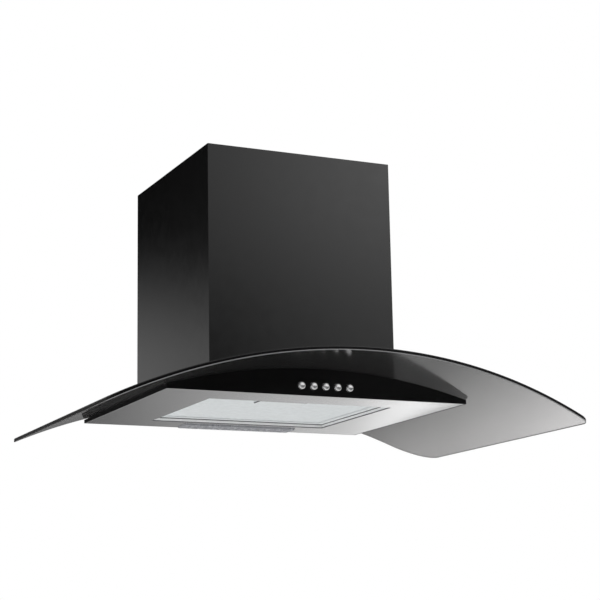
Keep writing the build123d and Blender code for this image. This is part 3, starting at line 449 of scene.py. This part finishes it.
def glass_outline(inset):
    """The sheet seen from above, this much inside its edge: bowed front, and a notch behind."""
    bow_radius = (glass_half**2 + GLASS_BOW**2) / (2 * GLASS_BOW)
    bow_centre = (0, bow_radius - glass_depth)
    corner_x = glass_half - GLASS_FRONT_CORNER
    corner_y = bow_centre[1] - sqrt((bow_radius - GLASS_FRONT_CORNER) ** 2 - corner_x**2)
    turn = atan2(corner_y - bow_centre[1], corner_x)
    rear = (glass_half - GLASS_REAR_CORNER, -GLASS_REAR_CORNER)
    notch_x = (chimney_high[0] - chimney_low[0]) / 2 - NOTCH_MARGIN + inset
    notch_y = chimney_low[1] + NOTCH_FRONT_MARGIN - inset
    notch_turn = NOTCH_CORNER + inset
    notch_centre = (notch_x - notch_turn, notch_y + notch_turn)
    right = [(notch_x, -inset)]
    right += arc(rear, GLASS_REAR_CORNER - inset, pi / 2, 0, REAR_CORNER_STEPS)
    right += arc((corner_x, corner_y), GLASS_FRONT_CORNER - inset, 0, turn, FRONT_CORNER_STEPS)
    front = arc(bow_centre, bow_radius - inset, turn, -pi - turn, FRONT_STEPS)[1:-1]
    notch = arc(notch_centre, notch_turn, -pi / 2, 0, NOTCH_STEPS)
    left = [(-x, y) for x, y in reversed(right)]
    return right + front + left + [(-x, y) for x, y in reversed(notch)] + notch


def glass_holes():
    """Middles of the screw holes, under the corners of the washers' box."""
    low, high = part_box("glass_washers")
    return [
        (x, y)
        for x in (low[0] + WASHER_RADIUS, high[0] - WASHER_RADIUS)
        for y in (low[1] + WASHER_RADIUS, high[1] - WASHER_RADIUS)
    ]


def glass_mesh():
    """Flat sheet with ground arrises, cut into strips and then laid over the arch.

    Sides that look forward are the front edge, and the leaning parts of the others pass for face.
    """
    shell = bmesh.new()
    levels = (
        (GLASS_ARRIS, 0),
        (0, GLASS_ARRIS),
        (0, GLASS_THICKNESS - GLASS_ARRIS),
        (GLASS_ARRIS, GLASS_THICKNESS),
    )
    loops = [[glass_outline(inset) for inset, _ in levels]]
    for hole in glass_holes():
        rims = [arc(hole, HOLE_RADIUS + inset, 0, -tau, HOLE_STEPS)[:-1] for inset, _ in levels]
        loops.append(rims)
    broad = {0: [], len(levels) - 1: []}
    for loop in loops:
        rings = []
        for (_, depth), outline in zip(levels, loop):
            rings.append([shell.verts.new((x, y, -depth)) for x, y in outline])
        for index, kind in enumerate((SIDE_EDGE, SIDE_EDGE, ARRIS)):
            bridge(shell, rings[index], rings[index + 1], kind)
        for level in broad:
            broad[level].append(rings[level])
    for bounds in broad.values():
        for face in fill_between(shell, bounds):
            face.material_index = FACE
    for index in range(1, ARCH_STEPS):
        place = glass_half * (2 * index / ARCH_STEPS - 1)
        everything = list(shell.verts) + list(shell.edges) + list(shell.faces)
        bmesh.ops.bisect_plane(
            shell, geom=everything, dist=CUT_REACH, plane_co=(place, 0, 0), plane_no=(1, 0, 0)
        )
    for corner in shell.verts:
        x, y, depth = corner.co
        corner.co = (x, y, arch_z(x, arch_radius + depth))
    bmesh.ops.recalc_face_normals(shell, faces=shell.faces)
    for face in shell.faces:
        if face.material_index == SIDE_EDGE and face.normal.y < FRONT_NORMAL_Y:
            face.material_index = FRONT_EDGE
        elif face.normal.y > FRONT_NORMAL_Y and abs(face.normal.z) > LEANING_NORMAL_Z:
            face.material_index = FACE
    mesh = mesh_of("glass_sheet", shell)
    round_normals(mesh)
    return mesh


def round_normals(mesh):
    """The broad faces shade as one true arch, and the edges as they lie."""
    normals = [None] * len(mesh.loops)
    for face in mesh.polygons:
        for loop in face.loop_indices:
            corner = mesh.vertices[mesh.loops[loop].vertex_index].co
            away = Vector((corner.x, 0, corner.z - arch_axis_z)).normalized()
            side = 1 if face.normal.z > 0 else -1
            normals[loop] = away * side if face.material_index == FACE else face.normal
    mesh.normals_split_custom_set(normals)


add_piece(
    "glass_sheet",
    glass_mesh(),
    (
        FINISHES["smoked_glass"],
        glass_edge("smoked_glass_front_edge", (0.002, 0.002, 0.002), 0.2, 0.0, 1.25),
        glass_edge("smoked_glass_arris", (0.3, 0.3, 0.31), 0.4, 0.2),
        glass_edge("smoked_glass_side_edge", (0.006, 0.006, 0.006), 0.3, 0.2, 1.12),
    ),
    "root",
    "glass_canopy",
)


# ---------------------------------------------------------------- push buttons
def turned(name, profile, centre, axis_y, count=48):
    """Mesh turned about a line along Y, from a profile of (radius, y) starting at its middle."""
    shell = bmesh.new()
    rings = []
    for radius, y in profile:
        if radius == 0:
            rings.append([shell.verts.new((centre[0], axis_y + y, centre[1]))])
            continue
        rings.append(
            [
                shell.verts.new((px, axis_y + y, pz))
                for px, pz in arc(centre, radius, 0, tau, count)[:-1]
            ]
        )
    for first, second in zip(rings, rings[1:]):
        if len(first) == 1 or len(second) == 1:
            tip, ring = (first[0], second) if len(first) == 1 else (second[0], first)
            for index in range(count):
                shell.faces.new((tip, ring[index - 1], ring[index]))
        else:
            bridge(shell, first, second)
    return mesh_of(name, shell, BUTTON_FOLD)


BUTTON_COUNT = 5
BUTTON_RADIUS = 5 * MM
BUTTON_RIM_RADIUS = 6.2 * MM
BUTTON_RIM = 1.2 * MM
BUTTON_PROUD = 5 * MM
FASCIA = 1.2 * MM
RIM_GAP = 0.3 * MM
STEM_RADIUS = 2.5 * MM
BUTTON_DISH = 2.9 * MM
BUTTON_DISH_DEPTH = 1.2 * MM
BUTTON_BEAD = 1.1 * MM
BUTTON_GROOVE = 0.25 * MM
GROOVE_PLACE = 3.1 * MM
BEAD_START = -0.75 * pi
DISH_STEPS = 6
BEAD_STEPS = 12
BUTTON_FOLD = 50


def button_profile(length):
    """Dished face inside a round bead, a fine groove, then the rim and stem behind the plate."""
    dish_radius = (BUTTON_DISH**2 + BUTTON_DISH_DEPTH**2) / (2 * BUTTON_DISH_DEPTH)
    dish_turn = asin(BUTTON_DISH / dish_radius)
    dish_centre = (0, BUTTON_BEAD - dish_radius)
    dish = arc(dish_centre, dish_radius, pi / 2, pi / 2 - dish_turn, DISH_STEPS)
    dish[0] = (0, BUTTON_BEAD)
    bead_centre = (BUTTON_RADIUS - BUTTON_BEAD, BUTTON_BEAD)
    bead = arc(bead_centre, BUTTON_BEAD, BEAD_START, 0, BEAD_STEPS)
    rim = BUTTON_PROUD + FASCIA + RIM_GAP
    return (
        dish
        + bead
        + [
            (BUTTON_RADIUS, GROOVE_PLACE),
            (BUTTON_RADIUS - BUTTON_GROOVE, GROOVE_PLACE + BUTTON_GROOVE),
            (BUTTON_RADIUS, GROOVE_PLACE + 2 * BUTTON_GROOVE),
            (BUTTON_RADIUS, rim),
            (BUTTON_RIM_RADIUS, rim),
            (BUTTON_RIM_RADIUS, rim + BUTTON_RIM),
            (STEM_RADIUS, rim + BUTTON_RIM),
            (STEM_RADIUS, length - BUTTON_GROOVE),
            (STEM_RADIUS - BUTTON_GROOVE, length),
            (0, length),
        ]
    )


for number in range(1, BUTTON_COUNT + 1):
    low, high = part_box(f"button_{number}")
    centre = ((low[0] + high[0]) / 2, (low[2] + high[2]) / 2)
    add_piece(
        f"push_button_{number}",
        turned(f"push_button_{number}", button_profile(high[1] - low[1]), centre, low[1]),
        (FINISHES["chrome"],),
        f"push_{number}",
        f"button_{number}",
    )


# ---------------------------------------------------------------- grease filter
STRAND_LENGTH = 11.5 * MM
STRAND_RISE = 6.2 * MM
STRAND_SHARE = 0.6
STRAND_LIFT = 0.35 * MM


def expanded_mesh(name, low, high, upward):
    """Expanded metal: a lattice of rhombic slots whose rims are drawn up or down."""
    shell = bmesh.new()
    columns = round((high[0] - low[0]) / STRAND_LENGTH)
    rows = round((high[1] - low[1]) / STRAND_RISE)
    step_x = (high[0] - low[0]) / columns
    step_y = (high[1] - low[1]) / rows
    thickness = high[2] - low[2] - STRAND_LIFT
    corners = ((0.5, 0), (0, 0.5), (-0.5, 0), (0, -0.5))
    outer_z = low[2] if upward else high[2] - thickness
    inner_z = outer_z + (STRAND_LIFT if upward else -STRAND_LIFT)
    for line in range(1, 2 * rows):
        for place in range(1 + line % 2, 2 * columns, 2):
            x, y = low[0] + place * step_x / 2, low[1] + line * step_y / 2
            rings = [
                [
                    shell.verts.new((x + share * i * step_x, y + share * j * step_y, z))
                    for i, j in corners
                ]
                for share, z in (
                    (1, outer_z),
                    (STRAND_SHARE, inner_z),
                    (STRAND_SHARE, inner_z + thickness),
                    (1, outer_z + thickness),
                )
            ]
            for first, second in zip(rings, rings[1:]):
                bridge(shell, first, second)
    bmesh.ops.remove_doubles(shell, verts=shell.verts, dist=WELD)
    return mesh_of(name, shell)


for node, upward in (("filter_lower_mesh", True), ("filter_upper_mesh", False)):
    low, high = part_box(node)
    add_piece(
        f"{node}_lattice",
        expanded_mesh(f"{node}_lattice", low, high, upward),
        (FINISHES["filter_aluminium"],),
        "filter",
        node,
    )


LATCH_SHEET = 1.2 * MM
LATCH_TURN = 1.4 * MM
LATCH_TRAY = 5.0 * MM
RIVET_HEAD = 3.5 * MM
LATCH_SLOT = 1.95 * MM
LATCH_TRAVEL = 5.0 * MM
WEB_TURN = 0.3 * MM
WEB_STEPS = 2
SLOT_STEPS = 8
# Finish number of the latch's bends, which carry painted shade.
LATCH_SHADED_BEND = 1


def latch_mesh():
    """Finger plate pressed as a shallow tray, with a slotted tongue over the filter's frame.

    At rest the rivets sit at the rear ends of the slots.
    """
    low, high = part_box("filter_latch")
    rivets_low, rivets_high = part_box("latch_rivets")
    shell = bmesh.new()

    def ring(inset, z):
        """Outline of the plate at this height, this much inside its edge."""
        corners = (low[0] + inset, low[1] + inset), (high[0] - inset, high[1] - inset)
        return rounded_ring(shell, *corners, LATCH_TURN, z, PRESS_CORNER_STEPS)

    bend = press_bend(LATCH_TURN)
    outer = [ring(0, low[2] + LATCH_TRAY)] + [ring(off, low[2] + rise) for off, rise in bend]
    inner = [ring(LATCH_SHEET, low[2] + rise) for rise in (LATCH_TRAY, LATCH_SHEET)]
    # The bends of the tray carry the painted shade.
    for first, second in zip(outer[1:], outer[2:]):
        bridge(shell, first, second, LATCH_SHADED_BEND)
    bridge(shell, outer[0], outer[1])
    bridge(shell, *inner)
    bridge(shell, outer[0], inner[0])
    shell.faces.new(outer[-1])
    shell.faces.new(inner[-1])
    slot_y = (rivets_low[1] + rivets_high[1] - LATCH_TRAVEL) / 2
    loops = {high[2] - LATCH_SHEET: [], high[2]: []}
    for z in loops:
        loops[z].append(ring(0, z))
        for x in (rivets_low[0] + RIVET_HEAD, rivets_high[0] - RIVET_HEAD):
            rear = arc((x, slot_y + LATCH_TRAVEL / 2), LATCH_SLOT, 0, pi, SLOT_STEPS)
            front = arc((x, slot_y - LATCH_TRAVEL / 2), LATCH_SLOT, pi, tau, SLOT_STEPS)
            loops[z].append([shell.verts.new((px, py, z)) for px, py in rear + front])
        fill_between(shell, loops[z])
    for first, second in zip(*loops.values()):
        bridge(shell, first, second)
    web_low, web_high = low[2] + LATCH_TRAY, high[2] - LATCH_SHEET
    web = (low[0] + LATCH_TURN, low[1]), (high[0] - LATCH_TURN, low[1] + LATCH_SHEET)
    ends = [rounded_ring(shell, *web, WEB_TURN, z, WEB_STEPS) for z in (web_low, web_high)]
    bridge(shell, *ends)
    for end in ends:
        shell.faces.new(end)
    return mesh_of("pressed_latch", shell, PRESS_FOLD)


even_normals(
    add_piece(
        "pressed_latch",
        latch_mesh(),
        (FINISHES["filter_aluminium"], FINISHES["stainless_painted_shade"]),
        "latch",
        "filter_latch",
    )
)


# ---------------------------------------------------------------- lamp cover
COVER_PROUD = 2 * MM
COVER_RIM = 4 * MM
COVER_WALL = 1.2 * MM
COVER_TURN = 2.4 * MM
COVER_RIBS = 11
RIB_DEPTH = 0.2 * MM
COVER_GAP = 0.2 * MM
COVER_ROLL = 1.0 * MM
COVER_CHAMFER = 0.3 * MM
COVER_FOLD = 20


def lamp_cover_mesh():
    """Shallow tray with a prismatic face: ribs run along the lamp inside a smooth border."""
    low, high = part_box("lamp_cover")
    shell = bmesh.new()
    edge_z = low[2] + COVER_PROUD
    inset = COVER_RIM + COVER_GAP
    inside = inset + COVER_WALL
    profile = (
        (COVER_ROLL, low[2]),
        (COVER_CHAMFER, low[2] + COVER_CHAMFER),
        (0, low[2] + COVER_ROLL),
        (0, edge_z),
        (inset, edge_z),
        (inset, high[2]),
        (inside, high[2]),
        (inside, low[2] + COVER_WALL),
    )
    rings = []
    for off, z in profile:
        turn = max(COVER_TURN - off, COVER_CHAMFER)
        corner = (low[0] + off, low[1] + off), (high[0] - off, high[1] - off)
        rings.append(rounded_ring(shell, *corner, turn, z))
    for first, second in zip(rings, rings[1:]):
        bridge(shell, first, second)
    shell.faces.new(rings[-1])
    border = [shell.verts.new((v.co.x, v.co.y, v.co.z)) for v in rings[0]]
    field_low = (low[0] + inset, low[1] + inset)
    field_high = (high[0] - inset, high[1] - inset)
    pitch = (field_high[1] - field_low[1]) / COVER_RIBS
    lines = []
    for step in range(2 * COVER_RIBS + 1):
        y = field_low[1] + step * pitch / 2
        z = low[2] + (RIB_DEPTH if step % 2 == 0 else 0)
        lines.append([shell.verts.new((x, y, z)) for x in (field_low[0], field_high[0])])
    for first, second in zip(lines, lines[1:]):
        shell.faces.new((first[0], first[1], second[1], second[0]))
    field = [line[1] for line in lines] + [line[0] for line in reversed(lines)]
    fill_between(shell, (border, field))
    bmesh.ops.remove_doubles(shell, verts=shell.verts, dist=WELD)
    return mesh_of("ribbed_lamp_cover", shell, COVER_FOLD)


even_normals(
    add_piece(
        "ribbed_lamp_cover", lamp_cover_mesh(), (FINISHES["clear_plastic"],), "root", "lamp_cover"
    )
)


# ---------------------------------------------------------------- stainless underside
PANEL_SHEET = 1 * MM
PANEL_TURN = 1.4 * MM
PANEL_LIP = 3 * MM
OPENING_HALF = 140 * MM
OPENING_FRONT_LAND = 66 * MM
OPENING_REAR_LAND = 18.5 * MM
LAMP_HOLE_RIM = 4 * MM
# The recess wall carries a painted highlight up to this height, and painted shade above it and in
# its bends; the finishes below are plain steel, painted highlight and painted shade.
RECESS_BRIGHT = 4.8 * MM
FLAT, HIGHLIGHT_WALL, SHADED_BEND = range(3)


def underside_mesh():
    """Pressed sheet: rolled outer lip, a drawn recess for the filter and a hole for the lamp.

    The recess wall is painted near white as a painted highlight, and painted dark in its bends and
    round its top as painted shade.
    """
    low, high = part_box("underside_panel")
    lamp_low, lamp_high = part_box("lamp_cover")
    body_low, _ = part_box("front_fascia")
    opening = (
        (-OPENING_HALF, body_low[1] + OPENING_FRONT_LAND),
        (OPENING_HALF, lamp_low[1] - OPENING_REAR_LAND),
    )
    hole = tuple(
        (corner[0] + sign * LAMP_HOLE_RIM, corner[1] + sign * LAMP_HOLE_RIM)
        for corner, sign in ((lamp_low, 1), (lamp_high, -1))
    )
    shell = bmesh.new()
    bend = press_bend(PANEL_TURN)
    lip = [(0, PANEL_LIP)] + bend
    draw = [(-off, rise) for off, rise in reversed(bend)]
    draw += [(0, RECESS_BRIGHT), (0, high[2] - low[2])]

    def rings(corners, profile, finishes=(FLAT,) * len(lip)):
        """Lofted rings along a profile of (inset, rise)."""
        made = []
        for off, rise in profile:
            pair = (
                (corners[0][0] + off, corners[0][1] + off),
                (corners[1][0] - off, corners[1][1] - off),
            )
            z = low[2] + rise
            made.append(rounded_ring(shell, *pair, PANEL_TURN, z, PRESS_CORNER_STEPS))
        for first, second, finish in zip(made, made[1:], finishes):
            bridge(shell, first, second, finish)
        return made

    outer = rings((low, high), lip)
    inner = rings((low, high), [(PANEL_SHEET, PANEL_LIP), (PANEL_SHEET, PANEL_SHEET)])
    # Painted shade in the bends of the recess and above its painted highlight.
    recess = rings(opening, draw, [SHADED_BEND] * (len(bend) - 1) + [HIGHLIGHT_WALL, SHADED_BEND])
    behind = rings(opening, [(-PANEL_SHEET, PANEL_SHEET), (-PANEL_SHEET, high[2] - low[2])])
    cut = rings(hole, [(0, 0), (0, PANEL_SHEET)])
    bridge(shell, outer[0], inner[0])
    bridge(shell, recess[-1], behind[-1])
    for loops in ((outer[-1], recess[0], cut[0]), (inner[-1], behind[0], cut[-1])):
        fill_between(shell, loops)
    return mesh_of("pressed_underside", shell, PRESS_FOLD)


even_normals(
    add_piece(
        "pressed_underside",
        underside_mesh(),
        (FINISHES["stainless"], highlight_stainless(), FINISHES["stainless_painted_shade"]),
        "root",
        "underside_panel",
    )
)


# ---------------------------------------------------------------- camera
LENS = 99.357
SENSOR_WIDTH = 36.0
CAMERA_PLACE = Vector((-0.98507, -2.37226, -0.49637))
CAMERA_YAW = 0.4408
CAMERA_PITCH = 0.2113
CAMERA_ROLL = 0.0188


def place_camera():
    """The photograph's viewpoint: below and to the left of the hood, a touch rolled."""
    camera = bpy.data.objects.new("camera", bpy.data.cameras.new("camera"))
    bpy.context.scene.collection.objects.link(camera)
    ahead = Vector(
        (
            sin(CAMERA_YAW) * cos(CAMERA_PITCH),
            cos(CAMERA_YAW) * cos(CAMERA_PITCH),
            sin(CAMERA_PITCH),
        )
    )
    level = Vector((cos(CAMERA_YAW), -sin(CAMERA_YAW), 0))
    upright = level.cross(ahead)
    across = level * cos(CAMERA_ROLL) - upright * sin(CAMERA_ROLL)
    upward = upright * cos(CAMERA_ROLL) + level * sin(CAMERA_ROLL)
    turn = Matrix((across, upward, -ahead)).transposed()
    camera.matrix_world = Matrix.Translation(CAMERA_PLACE) @ turn.to_4x4()
    camera.data.lens = LENS
    camera.data.sensor_width = SENSOR_WIDTH
    bpy.context.scene.camera = camera


# ---------------------------------------------------------------- studio
FLOOR_HEIGHT = -3.3
FLOOR_SIZE = 30.0
FLOOR_GREY = (0.82, 0.82, 0.81)
FLAG_START = 5.3
FLAG_END = 9.0
FLAG_GREY = (0.25, 0.25, 0.25)
SURROUND_STRENGTH = 2.0


def ramp(tree, value, stops):
    """Grey ramp over a direction's part from -1 to 1, its greys later lifted by the strength."""
    spread = tree.nodes.new("ShaderNodeMapRange")
    spread.inputs["From Min"].default_value = -1.0
    tree.links.new(value, spread.inputs["Value"])
    node = tree.nodes.new("ShaderNodeValToRGB")
    tree.links.new(spread.outputs["Result"], node.inputs["Fac"])
    points = node.color_ramp.elements
    while len(points) < len(stops):
        points.new(0.5)
    for point, (place, grey) in zip(points, stops):
        point.position = (place + 1) / 2
        point.color = (*[grey / SURROUND_STRENGTH] * 3, 1.0)
    return node.outputs["Color"]


def blend_by(tree, value, span, low, high):
    """low where the value is under the span, high where it is over it, smooth between."""
    step = tree.nodes.new("ShaderNodeMapRange")
    step.interpolation_type = "SMOOTHSTEP"
    step.inputs["From Min"].default_value, step.inputs["From Max"].default_value = span
    tree.links.new(value, step.inputs["Value"])
    mix = tree.nodes.new("ShaderNodeMix")
    mix.data_type = "RGBA"
    tree.links.new(step.outputs["Result"], mix.inputs["Factor"])
    tree.links.new(low, mix.inputs[6])
    tree.links.new(high, mix.inputs[7])
    return mix.outputs[2]


# What the surround shows toward each side, left to right, as (x of the direction, grey).
BACK_BELOW = (
    (-1, 0.8),
    (0, 0.3),
    (0.3, 0.1),
    (0.33, 0.2),
    (0.37, 0.37),
    (0.45, 0.8),
    (0.485, 1.65),
    (1, 1.65),
)
BACK_LEVEL = (
    (-1, 1.2),
    (-0.43, 1),
    (-0.385, 0.2),
    (-0.33, 0.54),
    (0, 0.2),
    (0.25, 0.14),
    (0.33, 0.18),
    (0.44, 0.08),
    (0.5, 0.22),
    (0.53, 0.45),
    (0.56, 0.78),
    (1, 1),
)
BACK_ABOVE = ((-1, 0.2), (-0.3, 0), (0, 0.02), (0.3, 0.12), (0.45, 0.8), (0.5, 0.9), (1, 0.85))
FRONT_LEVEL = (
    (-1, 0.6),
    (-0.4, 0.55),
    (0.12, 0.2),
    (0.3, 0.03),
    (0.37, 0.08),
    (0.42, 0.27),
    (0.47, 0.48),
    (1, 0.6),
)
FRONT_ABOVE = ((-1, 0.6), (0.3, 0.4), (0.36, 0.52), (0.46, 1.35), (1, 1.4))
OVERHEAD = ((-1, 1.35), (1, 1.35))

# Where one band of the surround gives way to the next, as the direction's height or depth.
BELOW_TO_LEVEL = (-0.08, 0.1)
BACK_TO_ABOVE = (0.16, 0.25)
FRONT_TO_ABOVE = (0.17, 0.3)
FRONT_TO_BACK = (-0.3, 0.3)
SIDES_TO_OVERHEAD = (0.45, 0.8)


def light_studio():
    """A surround of soft panels, dark in parts so that black paint and glass have a shape."""
    scene = bpy.context.scene
    scene.view_settings.view_transform = "Standard"
    world = bpy.data.worlds.new("studio")
    scene.world = world
    world.use_nodes = True
    tree = world.node_tree
    surround = tree.nodes["Background"]
    direction = tree.nodes.new("ShaderNodeTexCoord")
    parts = tree.nodes.new("ShaderNodeSeparateXYZ")
    tree.links.new(direction.outputs["Generated"], parts.inputs["Vector"])
    x, y, z = (parts.outputs[axis] for axis in "XYZ")
    below, level = ramp(tree, x, BACK_BELOW), ramp(tree, x, BACK_LEVEL)
    low_back = blend_by(tree, z, BELOW_TO_LEVEL, below, level)
    back = blend_by(tree, z, BACK_TO_ABOVE, low_back, ramp(tree, x, BACK_ABOVE))
    front_level, front_above = ramp(tree, x, FRONT_LEVEL), ramp(tree, x, FRONT_ABOVE)
    front = blend_by(tree, z, FRONT_TO_ABOVE, front_level, front_above)
    around = blend_by(tree, y, FRONT_TO_BACK, front, back)
    whole = blend_by(tree, z, SIDES_TO_OVERHEAD, around, ramp(tree, x, OVERHEAD))
    tree.links.new(whole, surround.inputs["Color"])
    surround.inputs["Strength"].default_value = SURROUND_STRENGTH
    backdrop = tree.nodes.new("ShaderNodeBackground")
    seen = tree.nodes.new("ShaderNodeLightPath")
    choice = tree.nodes.new("ShaderNodeMixShader")
    tree.links.new(seen.outputs["Is Camera Ray"], choice.inputs["Fac"])
    tree.links.new(surround.outputs["Background"], choice.inputs[1])
    tree.links.new(backdrop.outputs["Background"], choice.inputs[2])
    backdrop.inputs["Color"].default_value = (1.0, 1.0, 1.0, 1.0)
    tree.links.new(choice.outputs["Shader"], tree.nodes["World Output"].inputs["Surface"])


def flagged(finish, near, far):
    """Painted shade seen only in reflections: mirrored in the hood, the floor darkens behind it as
    if a flag stood there.
    """
    place = finish.add("ShaderNodeSeparateXYZ", {"Vector": finish.place})
    fall = finish.add(
        "ShaderNodeMapRange",
        {"Value": place.outputs["Y"], "From Min": FLAG_START, "From Max": FLAG_END},
        interpolation_type="SMOOTHSTEP",
    )
    ray = finish.add("ShaderNodeLightPath")
    share = finish.add(
        "ShaderNodeMath",
        {0: fall.outputs["Result"], 1: ray.outputs["Is Glossy Ray"]},
        operation="MULTIPLY",
    )
    mix = finish.add("ShaderNodeMix", {"Factor": share.outputs["Value"]}, data_type="RGBA")
    mix.inputs[6].default_value = (*near, 1.0)
    mix.inputs[7].default_value = (*far, 1.0)
    return mix.outputs[2]


def lay_floor():
    """Plain pale floor, far enough below that its edge stays out of sight."""
    floor = bpy.data.objects.new("floor", bpy.data.meshes.new("floor"))
    half = FLOOR_SIZE / 2
    places = ((-half, -half), (half, -half), (half, half), (-half, half))
    corners = [(x, y, FLOOR_HEIGHT) for x, y in places]
    floor.data.from_pydata(corners, [], [(0, 1, 2, 3)])
    bpy.context.scene.collection.objects.link(floor)
    finish = Finish("floor", FLOOR_GREY, 0.6)
    finish.rough(finish.noise(3), 0.5, 0.7)
    finish.link(flagged(finish, FLOOR_GREY, FLAG_GREY), "Base Color")
    floor.data.materials.append(finish.material)


place_camera()
light_studio()
lay_floor()
